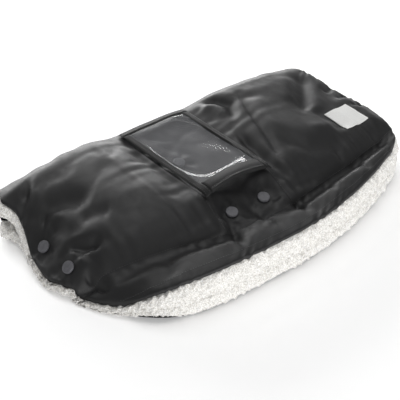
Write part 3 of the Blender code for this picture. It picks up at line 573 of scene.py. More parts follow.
class PaddedTop:
    """Upper surface of the muff at columns and rows, with padding, studs, folds and rolled edge."""

    EDGE_ROLL = 0.0024
    EDGE_LIFT_REACH = 0.034
    FRONT_LIFT = 0.0030
    END_LIFTS = (0.0000, 0.0030)
    LOWEST = 0.0072
    LOWEST_SOFTNESS = 0.0016
    DROOP_REACH = 0.030
    LEFT_DROOP = (0.0, 0.0020, 0.0080, 0.0100, 0.0120, 0.0130, 0.0100, 0.0080, 0.0)
    SEAM_DROP = 0.0034
    SEAM_HALF_WIDTH = 0.0036
    CROSS_FADE = (1.3, 0.5, 0.65)
    CROSS_GATHERS = Gathers(0.0225, 0.0011, 0.0120, 1.1)
    CHANNEL_GATHERS = Gathers(0.0260, 0.0010, 0.0100, 2.3)
    EDGE_GATHERS = Gathers(0.0190, 0.0008, 0.0110, 4.0)
    CHANNEL_PHASES = (0.4, 2.9)
    STITCH_FLAT = 0.004
    PLEATS = (0.0007, 0.0155, 0.0065)
    CORNER_SOFTNESS = 0.012

    def __init__(self, form: QuiltForm) -> None:
        """Keep the form, and its wrinkles round the fold."""
        self.form = form
        self.wrinkles = BackWrinkles(form)
        self.settling: Settling | None = None

    def edge_distance(self, columns: Array, rows: Array) -> Array:
        """Plan distance to the nearest free edge, 0 on the edge."""
        return self.nearest_edge(columns, rows)[0]

    def end_distance(self, columns: Array, rows: Array) -> Array:
        """Plan distance along X to the end on the point's own side."""
        x, _ = self.form.plan(columns, rows)
        end_x, _ = self.form.plan(np.where(columns < 0, -2.0, 2.0), rows)
        return np.abs(end_x - x)

    def nearest_edge(self, columns: Array, rows: Array) -> tuple[Array, Array]:
        """Measure to the nearest free edge: the front edge or an end, softened at corners.

        Args:
            columns: Columns of points.
            rows: Rows of points.

        Returns:
            Distances, and the share of the end in them, from 0 at the front edge to 1 at an end.
        """
        _, y = self.form.plan(columns, rows)
        _, front_y = self.form.plan(columns, np.full_like(rows, -1.0))
        to_end = self.end_distance(columns, rows)
        to_front = np.abs(y - front_y)
        soft = self.CORNER_SOFTNESS
        blend = np.clip(0.5 + 0.5 * (to_front - to_end) / soft, 0.0, 1.0)
        near = to_front * (1 - blend) + to_end * blend - soft * blend * (1 - blend)
        return np.clip(near, 0.0, None), blend

    def natural(self, columns: Array, rows: Array) -> Array:
        """Natural height of the quilt, less the droop of the pinched left end."""
        droop = self.form.at_rows(rows, self.LEFT_DROOP) * (columns < 0)
        near = 1 - smooth_step(self.end_distance(columns, rows) / self.DROOP_REACH)
        return self.form.natural_height(columns, rows) - droop * near

    def flat_height(self, columns: Array, rows: Array, settled: bool = True) -> Array:
        """Height over the plan before the fold bends it: padding, folds, seams, studs and edge.

        Args:
            columns: Columns of points.
            rows: Rows of points.
            settled: Whether the settling of the cloth is added.

        Returns:
            Heights.
        """
        form = self.form
        x, y = form.plan(columns, rows)
        top = self.natural(columns, rows)
        behind = np.clip((y - form.crest_y) / (form.fold_y - form.crest_y), 0.0, 1.0)
        fade = np.clip(1 - 1.6 * behind, 0.0, 1.0)
        distance, at_end = self.nearest_edge(columns, rows)
        end_lift = np.where(columns < 0, *self.END_LIFTS)
        lift = self.FRONT_LIFT + (end_lift - self.FRONT_LIFT) * at_end
        top = top + lift * (1 - smooth_step(distance / self.EDGE_LIFT_REACH)) * fade
        top = top + sum(crease.heights(x, y) for crease in FOLDS) * fade
        top = top + self.seam_relief(columns, rows, x, y) * fade
        if settled and self.settling is not None:
            top = top + self.settling.read(columns, rows) * fade
        spare = (top - self.LOWEST) / self.LOWEST_SOFTNESS
        top = self.LOWEST + self.LOWEST_SOFTNESS * np.logaddexp(0.0, spare)
        for stud in STUDS:
            top = top + (stud.seat + stud.tilt(x, y) - top) * stud.pull(x, y, stud.flat, stud.fade)
            top = top + self.stud_pleats(x, y, stud)
        roll = np.clip(distance / self.EDGE_ROLL, 0.0, 1.0)
        drop = self.EDGE_ROLL * (1 - np.sqrt(np.clip(1 - (1 - roll)**2, 0.0, 1.0)))
        return top - drop * fade

    def seam_relief(self, columns: Array, rows: Array, x: Array, y: Array) -> Array:
        """Grooves of the three seams and the gathers beside them.

        Args:
            columns: Columns of points.
            rows: Rows of points.
            x: X of points.
            y: Y of points.

        Returns:
            Heights, negative in the grooves.
        """
        form = self.form
        across = (np.abs(columns) - 1.0) * form.half_pocket
        ahead = rows * form.band_depth
        behind_seam = smooth_step((rows + 0.05) / 0.05)
        groove = self.SEAM_DROP * np.exp(-np.abs(across) / self.SEAM_HALF_WIDTH) * behind_seam
        cross = self.SEAM_DROP * np.exp(-np.abs(ahead) / self.SEAM_HALF_WIDTH)
        start, reach, share = self.CROSS_FADE
        cross = cross * (1 - share * smooth_step((np.abs(columns) - start) / reach))
        total = -np.maximum(groove, cross)
        total += self.CROSS_GATHERS.heights(ahead, x) * smooth_step(np.abs(ahead) / self.STITCH_FLAT)
        total += (self.CHANNEL_GATHERS.heights(across, y) * behind_seam
                  * smooth_step(np.abs(across) / self.STITCH_FLAT)
                  * np.cos(np.where(columns < 0, *self.CHANNEL_PHASES)))
        return total + self.EDGE_GATHERS.heights(self.edge_distance(columns, rows), x - 1.3 * y)

    def stud_pleats(self, x: Array, y: Array, stud: Stud) -> Array:
        """Small pleats that radiate from a stud, strongest just outside its cap.

        Args:
            x: X of points.
            y: Y of points.
            stud: The press stud.

        Returns:
            Heights.
        """
        height, middle, width = self.PLEATS
        angle = np.arctan2(y - stud.y, x - stud.x)
        wave = np.cos(5 * angle + 9 * stud.x * 100) + 0.5 * np.cos(8 * angle + 7 * stud.y * 100)
        return height * wave * np.exp(-((np.hypot(x - stud.x, y - stud.y) - middle) / width)**2)

    def points(self, columns: Array, rows: Array, depth: Array | float = 0.0) -> Array:
        """Points of the upper surface, bent round the fold.

        Args:
            columns: Columns of points.
            rows: Rows of points.
            depth: Depth below the outer face.

        Returns:
            Points.
        """
        x, y = self.form.plan(columns, rows)
        z = self.flat_height(columns, rows)
        return self.form.wrap(x, y, z - depth, depth - self.wrinkles.stand_out(x, y, z))


def grid_quads(rows: int, columns: int) -> Array:
    """Corner numbers of the quads of a grid, counted so that a grid read +X then +Y faces up."""
    index = np.arange(rows * columns).reshape(rows, columns)
    return np.stack([index[:-1, :-1], index[:-1, 1:], index[1:, 1:], index[1:, :-1]], axis=-1).reshape(-1, 4)


def grid_normals(points: Array) -> Array:
    """Unit normals of a grid of points, from the cross product of its two slopes."""
    across = np.gradient(points, axis=1)
    along = np.gradient(points, axis=0)
    return unit(np.cross(across, along))


def slab(outer: Array, inner: Array) -> tuple[Array, Array]:
    """Close a solid between two grids of points that face up and down.

    Args:
        outer: Grid of points of the outer face.
        inner: Grid of points of the inner face.

    Returns:
        Points and quads.
    """
    rows, columns = outer.shape[:2]
    count = rows * columns
    top = grid_quads(rows, columns)
    bottom = top[:, ::-1] + count
    index = np.arange(count).reshape(rows, columns)
    rim = np.concatenate([index[0, :], index[1:, -1], index[-1, -2::-1], index[-2:0:-1, 0]])
    after = np.roll(rim, -1)
    walls = np.stack([rim, rim + count, after + count, after], axis=-1)
    points = np.concatenate([outer.reshape(-1, 3), inner.reshape(-1, 3)])
    return points, np.concatenate([top, bottom, walls])


def turned(profile: Array, sides: int, centre: tuple[float, float, float]) -> tuple[Array, list[list[int]]]:
    """Turn a profile of radius and height about Z, with a point where the radius is 0.

    Args:
        profile: Radius and height pairs, from the lower pole to the upper one.
        sides: Sides of the turned form.
        centre: Place of the foot of the axis.

    Returns:
        Points and faces.
    """
    turns = 2 * math.pi * np.arange(sides) / sides
    radius, height = profile[1:-1, 0], profile[1:-1, 1]
    rings = np.stack([radius[:, None] * np.cos(turns), radius[:, None] * np.sin(turns),
                      np.broadcast_to(height[:, None], (len(radius), sides))], axis=-1)
    poles = np.array([[0, 0, profile[0, 1]], [0, 0, profile[-1, 1]]])
    points = np.concatenate([rings.reshape(-1, 3), poles]) + np.array(centre)
    index = np.arange(rings.shape[0] * sides).reshape(-1, sides)
    after = np.roll(index, -1, axis=1)
    quads = np.stack([index[:-1], after[:-1], after[1:], index[1:]], axis=-1).reshape(-1, 4)
    low, high = len(points) - 2, len(points) - 1
    feet = np.stack([after[0], index[0], np.full(sides, low)], axis=-1)
    crowns = np.stack([index[-1], after[-1], np.full(sides, high)], axis=-1)
    return points, quads.tolist() + feet.tolist() + crowns.tolist()


def knobs(u: Array, v: Array, size: float, seed: int) -> Array:
    """Rounded lumps of pile: each point takes the height of the nearest of scattered round heads.

    The ground is cut into square cells with one head in each, off its middle by a random share.
    Height is the root of one less the squared distance, as on a ball.

    Args:
        u: First coordinate on the surface, in metres.
        v: Second coordinate.
        size: Spacing of the heads.
        seed: Seed of the scatter.

    Returns:
        Heights from 0 to 1.
    """
    rng = np.random.default_rng(seed)
    table = rng.random((64, 64, 3))
    a, b = u / size, v / size
    cell_a, cell_b = np.floor(a).astype(int), np.floor(b).astype(int)
    height = np.zeros(np.broadcast(a, b).shape)
    for da in (-1, 0, 1):
        for db in (-1, 0, 1):
            ia, ib = cell_a + da, cell_b + db
            jitter = table[ia % 64, ib % 64]
            distance2 = (a - ia - jitter[..., 0])**2 + (b - ib - jitter[..., 1])**2
            radius = 0.62 + 0.45 * jitter[..., 2]
            height = np.maximum(height, np.sqrt(np.clip(1 - distance2 / radius**2, 0.0, 1.0)) * radius)
    return height


def rods(centre: Array, first: Array, second: Array, radii: Array, start: float,
         sides: int) -> tuple[Array, list[list[int]]]:
    """Carry a polygon along many short lines and close both ends of each.

    Args:
        centre: Points of the lines, by line and by place along it.
        first: Unit direction square to the line at each point.
        second: Unit direction square to both: the way along the line crossed with the first.
        radii: Radius at each point.
        start: Angle of the polygon's first corner.
        sides: Number of its corners.

    Returns:
        Points by line, place and corner, and faces.
    """
    count, bends = centre.shape[:2]
    angle = start + 2 * math.pi * np.arange(sides) / sides
    ring = np.cos(angle)[:, None] * first[:, :, None] + np.sin(angle)[:, None] * second[:, :, None]
    points = centre[:, :, None] + ring * radii[..., None, None]
    index = np.arange(bends * sides).reshape(bends, sides)
    after = np.roll(index, -1, axis=1)
    quads = np.stack([index[:-1], after[:-1], after[1:], index[1:]], axis=-1).reshape(-1, 4)
    shifts = (np.arange(count) * bends * sides)[:, None, None]
    faces = (quads[None] + shifts).reshape(-1, 4).tolist()
    for cap in (index[:1, ::-1], index[-1:]):
        faces += (cap[None] + shifts).reshape(-1, sides).tolist()
    return points, faces


def add_node(tree: bpy.types.NodeTree, kind: str, settings: dict | None = None,
             links: dict | None = None) -> bpy.types.Node:
    """Add a shader node with its settings and links.

    Args:
        tree: The material's node tree.
        kind: Type of the node, without its ShaderNode prefix.
        settings: Property values by name, and socket values by socket name or number.
        links: Output sockets to join to this node's inputs, by socket name or number.

    Returns:
        The node.
    """
    made = tree.nodes.new("ShaderNode" + kind)
    for key, value in (settings or {}).items():
        if isinstance(key, str) and hasattr(made, key):
            setattr(made, key, value)
        else:
            made.inputs[key].default_value = value
    for key, source in (links or {}).items():
        tree.links.new(source, made.inputs[key])
    return made


class Surface:
    """A material's shader and the few steps that the finishes are made of."""

    BAND_PITCH = 0.314

    def __init__(self, tree: bpy.types.NodeTree) -> None:
        """Add the shader, its output and the object's own coordinates."""
        self.tree = tree
        self.shader = add_node(tree, "BsdfPrincipled")
        add_node(tree, "OutputMaterial", None, {"Surface": self.shader.outputs[0]})
        self.place = add_node(tree, "TexCoord").outputs["Object"]

    def noise(self, scale: float, detail: float, more: dict | None = None) -> Socket:
        """Noise, at a scale in waves per metre."""
        settings = {"Scale": scale, "Detail": detail, **(more or {})}
        return add_node(self.tree, "TexNoise", settings, {"Vector": self.place}).outputs[0]

    def bands(self, way: str, pitch: float, distortion: float, more: dict | None = None) -> Socket:
        """Threads or ribs across a way, at a pitch in metres."""
        settings = {"wave_type": "BANDS", "bands_direction": way, "Scale": self.BAND_PITCH / pitch,
                    "Distortion": distortion, **(more or {})}
        return add_node(self.tree, "TexWave", settings, {"Vector": self.place}).outputs[1]

    def product(self, first: Socket, second: Socket) -> Socket:
        """One pattern times another."""
        return add_node(self.tree, "Math", {"operation": "MULTIPLY"}, {0: first, 1: second}).outputs[0]

    def mixture(self, first: Socket, share: float, second: Socket) -> Socket:
        """A share of one pattern plus another."""
        settings = {"operation": "MULTIPLY_ADD", 1: share}
        return add_node(self.tree, "Math", settings, {0: first, 2: second}).outputs[0]

    def colour(self, pattern: Socket, places: tuple[float, float], codes: tuple[str, str]) -> None:
        """Colour the surface from one hex colour to another, between two values of a pattern.

        Args:
            pattern: The pattern.
            places: Its values at the two colours.
            codes: The two colours.
        """
        made = add_node(self.tree, "ValToRGB", None, {0: pattern})
        for element, place, code in zip(made.color_ramp.elements, places, codes):
            element.position = place
            element.color = linear(code)
        self.tree.links.new(made.outputs[0], self.shader.inputs["Base Color"])

    def roughness(self, pattern: Socket, low: float, high: float,
                  span: tuple[float, float] = (0.3, 0.7)) -> None:
        """Let the roughness follow a pattern.

        Args:
            pattern: The pattern.
            low: Roughness at the start of its span.
            high: Roughness at the end.
            span: Values of the pattern at both.
        """
        settings = {"From Min": span[0], "From Max": span[1], "To Min": low, "To Max": high}
        made = add_node(self.tree, "MapRange", settings, {"Value": pattern})
        self.tree.links.new(made.outputs[0], self.shader.inputs["Roughness"])

    def bumps(self, *layers: tuple[Socket, float, float]) -> None:
        """Lay bumps one on another.

        Args:
            layers: Pattern, strength and height in metres of each, the lowest first.
        """
        links = {}
        for pattern, strength, height in layers:
            made = add_node(self.tree, "Bump", {"Strength": strength, "Distance": height},
                            {"Height": pattern, **links})
            links = {"Normal": made.outputs[0]}
        self.tree.links.new(links["Normal"], self.shader.inputs["Normal"])

    def constants(self, values: dict) -> None:
        """Set the shader's own sockets."""
        for name, value in values.items():
            self.shader.inputs[name].default_value = value


@dataclass(frozen=True)
class Finish:
    """A surface finish: its name, the record's material slot and how its surface is made."""

    name: str
    slot: str

    def shade(self, surface: Surface) -> None:
        """Make the surface. Each finish has its own."""
        raise NotImplementedError

    def material(self) -> bpy.types.Material:
        """The finish's material, made on first use."""
        found = bpy.data.materials.get(self.name)
        if found:
            return found
        made = bpy.data.materials.new(self.name)
        made.use_nodes = True
        made.node_tree.nodes.clear()
        self.shade(Surface(made.node_tree))
        return made


@dataclass(frozen=True)
class SatinPolyester(Finish):
    """Black water-repellent polyester satin, woven from fine filament yarn and calendered.

    Filament satin has a soft broad gloss and a very fine weave. The weave is drawn at 1.1 mm,
    three times the real thread spacing, so that it shows.
    """

    name: str = "woven_satin_polyester"
    slot: str = "shell"
    colours: tuple[str, str] = ("080809", "111112")
    thread: float = 0.0011
    crumple: float = 0.016

    def shade(self, surface: Surface) -> None:
        """Weave and crumples as bumps, and a gloss that varies with the crumples."""
        crumple = surface.noise(1 / self.crumple, 4.0, {"Roughness": 0.55, "Distortion": 0.6})
        uneven = {"Detail": 1.0, "Detail Scale": 2.0}
        weave = surface.product(*[surface.bands(way, self.thread, 0.5, uneven) for way in "XY"])
        surface.colour(surface.mixture(weave, 0.3, surface.noise(16.0, 2.0)), (0.35, 0.8), self.colours)
        surface.roughness(crumple, 0.50, 0.62)
        surface.bumps((crumple, 0.13, 0.0012), (weave, 0.10, 0.0002))
        surface.constants({"Sheen Weight": 0.04, "Sheen Roughness": 0.45, "Specular IOR Level": 0.42})


@dataclass(frozen=True)
class TeddyPile(Finish):
    """Off-white polyester teddy fleece: a knitted back with looped, curled pile.

    The curls scatter light, so it looks matt and soft. Its colour is greyed in the hollows between the curls
    as painted shade.
    """

    name: str = "curled_teddy_fleece"
    slot: str = "fleece"
    # the grey end of this ramp is painted shade in the hollows of the pile
    colours: tuple[str, str] = ("bdbab4", "fcfbf9")
    curl: float = 0.0016

    def shade(self, surface: Surface) -> None:
        """Curls from cells and noise, with painted shade: the colour is grey in the curls' hollows and white
        on their heads.
        """
        cells = add_node(surface.tree, "TexVoronoi", {"feature": "SMOOTH_F1", "Scale": 1 / self.curl,
                                                      "Smoothness": 0.4}, {"Vector": surface.place})
        fibre = surface.noise(2.4 / self.curl, 3.0, {"Roughness": 0.7})
        soft = surface.mixture(cells.outputs["Distance"], -0.55, fibre)
        # painted shade: the colour runs from grey in the hollows between curls to white on their heads
        surface.colour(soft, (0.05, 0.5), self.colours)
        surface.bumps((soft, 0.55, 0.0009))
        surface.constants({"Roughness": 0.95, "Sheen Weight": 0.45, "Sheen Roughness": 0.6,
                           "Specular IOR Level": 0.2, "Subsurface Weight": 0.15,
                           "Subsurface Radius": (0.003, 0.0028, 0.0025)})


@dataclass(frozen=True)
class RibbedTape(Finish):
    """Black polyester grosgrain tape: ribs across a flat woven band, duller than the shell."""

    name: str = "woven_grosgrain_tape"
    slot: str = "binding"
    colours: tuple[str, str] = ("060606", "101011")
    rib: float = 0.0010

    def shade(self, surface: Surface) -> None:
        """Ribs and a fine grain."""
        tint = surface.product(surface.bands("Y", self.rib, 0.3), surface.noise(900.0, 2.0))
        surface.colour(tint, (0.1, 0.7), self.colours)
        surface.bumps((tint, 0.35, 0.0003))
        surface.constants({"Roughness": 0.68, "Specular IOR Level": 0.3, "Sheen Weight": 0.03})


@dataclass(frozen=True)
class ClearVinyl(Finish):
    """Clear soft PVC film, calendered: glossy, slightly grey, with soft waves and dust-fine scuffs. The grey
    is partly the film's own haze and partly painted reflection of the bright surroundings.
    """

    name: str = "calendered_clear_pvc"
    slot: str = "film"
    # grey tint: partly the film's own haze, partly painted reflection of the bright surroundings
    colours: tuple[str, str] = ("808184", "909194")

    def shade(self, surface: Surface) -> None:
        """Mostly see-through gloss with faint scuffs, and a grey haze that is partly painted reflection."""
        scuff = surface.noise(55.0, 3.0, {"Roughness": 0.5})
        surface.roughness(scuff, 0.10, 0.20, (0.35, 0.7))
        surface.bumps((surface.noise(24.0, 0.0), 0.12, 0.0015))
        # partly painted reflection: a grey haze over the film, varied by the scuffs
        surface.colour(scuff, (0.3, 0.8), self.colours)
        surface.constants({"IOR": 1.53, "Alpha": 0.22})


@dataclass(frozen=True)
class WovenSatinLabel(Finish):
    """White woven label: dense satin ground with fine ribs, left bare."""

    name: str = "woven_white_label"
    slot: str = "label"
    colours: tuple[str, str] = ("c8c8c6", "dcdcda")
    rib: float = 0.314 / 520

    def shade(self, surface: Surface) -> None:
        """Fine cross ribs on white."""
        tint = surface.mixture(surface.bands("DIAGONAL", self.rib, 0.4), 0.4, surface.noise(1100.0, 2.0))
        surface.colour(tint, (0.3, 0.8), self.colours)
        surface.bumps((tint, 0.25, 0.0002))
        surface.constants({"Roughness": 0.6, "Sheen Weight": 0.25})


@dataclass(frozen=True)
class SewingThread(Finish):
    """Polyester sewing thread, twisted from two plies, with a slight gloss."""

    name: str = "twisted_black_thread"
    slot: str = "binding"
    colours: tuple[str, str] = ("101011", "2a2a2c")
    twist: float = 0.314 / 450

    def shade(self, surface: Surface) -> None:
        """Twist of the plies as fine slanted bands."""
        twist = surface.bands("DIAGONAL", self.twist, 1.0)
        surface.colour(twist, (0.2, 0.8), self.colours)
        surface.bumps((twist, 0.3, 0.0002))
        surface.constants({"Roughness": 0.5, "Sheen Weight": 0.15})


@dataclass(frozen=True)
class MouldedCap(Finish):
    """Black acetal cap of a press stud, injection moulded with a fine spark-eroded grain. It is coloured mid
    grey, lighter than the black acetal, as painted sheen for the light that the caps catch.
    """

    name: str = "moulded_acetal_cap"
    slot: str = "cap"
    # mid greys instead of black: painted sheen of the light on the caps
    colours: tuple[str, str] = ("46464a", "57575b")

    def shade(self, surface: Surface) -> None:
        """Fine grain and slight rubbing that dulls the gloss."""
        rub = surface.noise(260.0, 3.0)
        # painted sheen: the whole cap is mid grey, and the rubbing only varies that grey a little
        surface.colour(rub, (0.35, 0.75), self.colours)
        surface.roughness(rub, 0.42, 0.54)
        surface.bumps((surface.noise(2600.0, 2.0), 0.12, 0.0001))


@dataclass(frozen=True)
class PlatedSteel(Finish):
    """Nickel-plated steel of the studs and sockets, stamped and tumbled bright."""

    name: str = "nickel_plated_steel"
    slot: str = "stud"
    colours: tuple[str, str] = ("b4b1aa", "cfccc6")

    def shade(self, surface: Surface) -> None:
        """Bright metal with fine tumbling marks."""
        marks = surface.noise(1400.0, 4.0, {"Distortion": 0.8})
        surface.colour(marks, (0.3, 0.7), self.colours)
        surface.roughness(marks, 0.16, 0.34)
        surface.constants({"Metallic": 1.0})


@dataclass(frozen=True)
class StudioSweep(Finish):
    """Matt white studio board under the muff."""

    name: str = "painted_studio_board"
    slot: str = ""
    colours: tuple[str, str] = ("f6f6f6", "f8f8f8")

    def shade(self, surface: Surface) -> None:
        """White with an unseen fine grain."""
        surface.colour(surface.noise(60.0, 2.0), (0.3, 0.7), self.colours)
        surface.constants({"Roughness": 0.9, "Specular IOR Level": 0.1,
                           "Emission Color": (1.0, 1.0, 1.0, 1.0), "Emission Strength": 0.20})


SHELL = SatinPolyester()
FLEECE = TeddyPile()
TAPE = RibbedTape()
VINYL = ClearVinyl()
LABEL = WovenSatinLabel()
THREAD = SewingThread()
WHITE_THREAD = SewingThread("twisted_white_thread", "label", ("dcdcda", "f4f4f2"))
CAP = MouldedCap()
STEEL = PlatedSteel()
SWEEP = StudioSweep()


def make_piece(name: str, points: Array, faces: Array | list, finish: Finish, half: Half | None,
               merge: bool = False, smooth: float = 50.0) -> bpy.types.Object:
    """Put a mesh into the scene as one finished piece and let it ride on its body.

    Args:
        name: Name of the piece.
        points: Points in the row frame.
        faces: Corner numbers of the faces.
        finish: Finish of the whole piece.
        half: The half that carries the piece, or None for the stage and for a piece between halves.
        merge: Whether points that fall together are merged.
        smooth: Angle in degrees past which an edge stays sharp.

    Returns:
        The piece.
    """
    data = bpy.data.meshes.new(name)
    faces = faces.tolist() if isinstance(faces, Array) else faces
    data.from_pydata(np.reshape(points, (-1, 3)).tolist(), [], faces)
    if merge:
        work = bmesh.new()
        work.from_mesh(data)
        bmesh.ops.remove_doubles(work, verts=work.verts, dist=1e-6)
        bmesh.ops.dissolve_degenerate(work, edges=work.edges, dist=1e-7)
        work.to_mesh(data)
        work.free()
    data.validate()
    data.materials.append(finish.material())
    data.shade_smooth()
    data.set_sharp_from_angle(angle=math.radians(smooth))
    made = bpy.data.objects.new(name, data)
    bpy.context.scene.collection.objects.link(made)
    if half is not None:
        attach(made, half.value)
    log.info("%s: %d points, %d faces", name, len(data.vertices), len(data.polygons))
    return made


@dataclass(frozen=True)
class CoverGrid:
    """Columns and rows of the shell's mesh, fine at the seams and at the free edges."""

    form: QuiltForm
    fine: float = 0.0009
    coarse: float = 0.0023
    growth: float = 1.22
    bend_lines: int = 18

    def steps(self, length: float) -> Array:
        """Places that start fine and grow to the coarse spacing.

        Args:
            length: Whole length.

        Returns:
            Places from 0 to the length.
        """
        steps, total = [], 0.0
        while total < length:
            steps.append(min(self.coarse, self.fine * self.growth**len(steps)))
            total += steps[-1]
        places = np.concatenate([[0.0], np.cumsum(steps)])
        return places * (length / places[-1])

    def both_ends(self, length: float) -> Array:
        """Places over a length, fine at both ends."""
        half = self.steps(length / 2)
        return np.concatenate([half, length - half[-2::-1]])

    def columns(self) -> Array:
        """Columns from end to end, in shares."""
        form, pocket = self.form, self.form.half_pocket
        left, right, middle = [self.both_ends(length) for length in
                               (form.left_reach - pocket, form.right_reach - pocket, 2 * pocket)]
        return np.concatenate([-1 - left[::-1] / left[-1], middle[1:-1] / pocket - 1, 1 + right / right[-1]])

    def rows(self) -> Array:
        """Rows from the front edge to the fold, in shares. Behind the crest they follow the bend."""
        form = self.form
        band, flat = self.both_ends(form.band_depth), self.steps(form.crest_y - form.seam_y)
        turns = np.linspace(0.0, math.pi / 2, self.bend_lines + 1)[1:]
        bend = flat[-1] + (form.fold_y - form.crest_y) * np.sin(turns)
        return np.concatenate([band / band[-1] - 1, flat[1:] / form.span, bend / form.span])


@dataclass
class ShellCover:
    """The black outer cloth: upper cover with its seams and rolled edge, and the underside.

    The hem's steps are shares of its drop and of its turn inwards. It ends short of the fold.
    """

    top: PaddedTop
    thickness: float = 0.0010
    hem_drop: float = 0.0018
    hem_turn: float = 0.0060
    hem_steps: tuple[tuple[float, float], ...] = ((0.5, 0.0), (1.0, 0.15), (1.05, 1.0))
    hem_end: tuple[float, float] = (0.80, 0.18)
    sole_edge: float = 0.0025
    sole_fade: float = 0.010
    sole_peek: float = 0.0060
    peek_reach: float = 0.0042
    peek_fade: float = 0.012
    peek_slant: float = 0.4

    def with_hem(self, columns: Array, rows: Array, points: Array) -> Array:
        """Add lines of points past each free edge, that turn the hem down and in.

        Args:
            columns: Columns of the grid.
            rows: Rows of the grid.
            points: Points of the grid.

        Returns:
            Points of the larger grid.
        """
        count = len(self.hem_steps)
        padded = np.pad(points, ((count, 0), (count, count), (0, 0)), mode="edge")
        i = np.clip(count - np.arange(len(rows) + count), 0, None)[:, None]
        j = np.arange(len(columns) + 2 * count)[None, :]
        j = np.maximum(np.clip(count - j, 0, None), np.clip(j - (len(columns) + count - 1), 0, None))
        r = np.pad(rows, (count, 0), mode="edge")[:, None] + 0 * j
        c = np.pad(columns, (count, count), mode="edge")[None, :] + 0 * i
        shares = np.array([(0.0, 0.0), *self.hem_steps])[np.maximum(i, j)]
        fade = 1 - np.clip((r - self.hem_end[0]) / self.hem_end[1], 0.0, 1.0)
        padded[..., 2] -= self.hem_drop * shares[..., 0] * fade
        padded[..., :2] -= self.outward(c, r, i > 0, j > 0) * self.hem_turn * shares[..., 1:]
        return padded

    def outward(self, columns: Array, rows: Array, front: Array, end: Array) -> Array:
        """Plan direction out of the muff at the free edges.

        Args:
            columns: Columns of points.
            rows: Rows of points.
            front: Where the point hangs from the front edge.
            end: Where the point hangs from an end.

        Returns:
            Unit directions, X and Y.
        """
        form, step = self.top.form, 1e-4
        side, sense = np.where(columns > 0, 1.0, -1.0), np.where(rows > 0, -1.0, 1.0)
        x0, y0 = form.plan(columns, rows)
        x1, y1 = form.plan(columns - side * step, rows)
        x2, y2 = form.plan(columns, rows + sense * step)
        out_front = unit(np.stack([(y0 - y1) * side, -np.abs(x1 - x0)], axis=-1))
        out_end = unit(np.stack([(y2 - y0) * sense * side, (x0 - x2) * sense * side], axis=-1))
        return unit(out_front * front[..., None] + out_end * end[..., None] + 1e-9)

    def upper(self, grid: CoverGrid) -> None:
        """Build the upper cover, from the front hem over the crest to the fold line.

        Args:
            grid: Columns and rows of the mesh.
        """
        columns, rows = grid.columns(), grid.rows()
        outer = self.with_hem(columns, rows, self.top.points(*np.meshgrid(columns, rows)))
        points, faces = slab(outer, outer - grid_normals(outer) * self.thickness)
        made = make_piece("shell_upper", points, faces, SHELL, Half.UPPER, merge=True)
        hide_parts(*[f"upper_{layer}_{side}" for layer in ("shell", "wadding")
                            for side in ("left", "centre", "right", "front")])

    def lower(self, grid: CoverGrid) -> None:
        """Build the underside, from the fold line under the muff to its hem on the floor.

        Args:
            grid: Columns and rows of the mesh.
        """
        form = self.top.form
        c, r = np.meshgrid(grid.columns()[::2], np.union1d(grid.rows()[::2], 1.0))
        x, y = form.plan(c, r)
        height = np.zeros(c.shape)
        for stud in STUDS:
            height += (stud.under - height) * stud.pull(x, y, stud.flat, stud.fade)
        distance = self.top.edge_distance(c, r)
        height += self.edge_rise(c, r) * (1 - smooth_step(distance / self.sole_fade))
        wrinkles = self.top.wrinkles.stand_out(x, y, height)
        outer = form.wrap(x, y, height, -wrinkles)
        inner = form.wrap(x, y, height + self.thickness, self.thickness - wrinkles)
        peek = self.peek_reach * self.peeking(c, r) * (1 - smooth_step(distance / self.peek_fade))
        for face in (outer, inner):
            face[..., 1] -= peek
            face[..., 0] -= self.peek_slant * peek
        made = make_piece("shell_lower", *slab(inner, outer), SHELL, Half.LOWER, merge=True)
        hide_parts("lower_shell", "lower_wadding", "lower_wadding_front")

    def edge_rise(self, columns: Array, rows: Array) -> Array:
        """How far the sole's edge curls up off the floor."""
        return self.sole_edge + (self.sole_peek - self.sole_edge) * self.peeking(columns, rows)

    def peeking(self, columns: Array, rows: Array) -> Array:
        """Where the sole peeks out under the fleece, front left, from 0 to 1."""
        return np.exp(-((columns + 1.86) / 0.13)**2) * smooth_step((-rows - 0.3) / 0.4)


@dataclass(frozen=True)
class Perimeter:
    """Free edge of the muff as one path: down the left end, along the front and up the right end."""

    top: PaddedTop
    spacing: float = 0.0011
    corner_reach: float = 0.010
    back_row: float = 0.93
    dense: int = 1200

    def lay_out(self) -> tuple[Array, Array, Array, Array]:
        """Even points along the edge.

        Returns:
            Columns, rows, points of the shell's edge, and plan directions outwards.
        """
        down = np.linspace(self.back_row, -1.0, self.dense)
        run = np.linspace(-2.0, 2.0, 2 * self.dense)
        columns = np.concatenate([np.full(self.dense, -2.0), run[1:-1], np.full(self.dense, 2.0)])
        rows = np.concatenate([down, np.full(2 * self.dense - 2, -1.0), down[::-1]])
        x, y = self.top.form.plan(columns, rows)
        length = np.concatenate([[0.0], np.cumsum(np.hypot(np.diff(x), np.diff(y)))])
        even = np.linspace(0.0, length[-1], int(length[-1] / self.spacing) + 1)
        columns, rows = np.interp(even, length, columns), np.interp(even, length, rows)
        points = self.top.points(columns, rows)
        way = unit(np.gradient(points[:, :2], axis=0))
        out = np.stack([way[:, 1], -way[:, 0]], axis=-1)
        width = int(self.corner_reach / self.spacing)
        kernel = np.hanning(2 * width + 1)
        kernel /= kernel.sum()
        padded = np.pad(out, ((width, width), (0, 0)), mode="edge")
        out = unit(np.stack([np.convolve(padded[:, k], kernel, mode="valid") for k in (0, 1)], axis=-1))
        return columns, rows, points, out


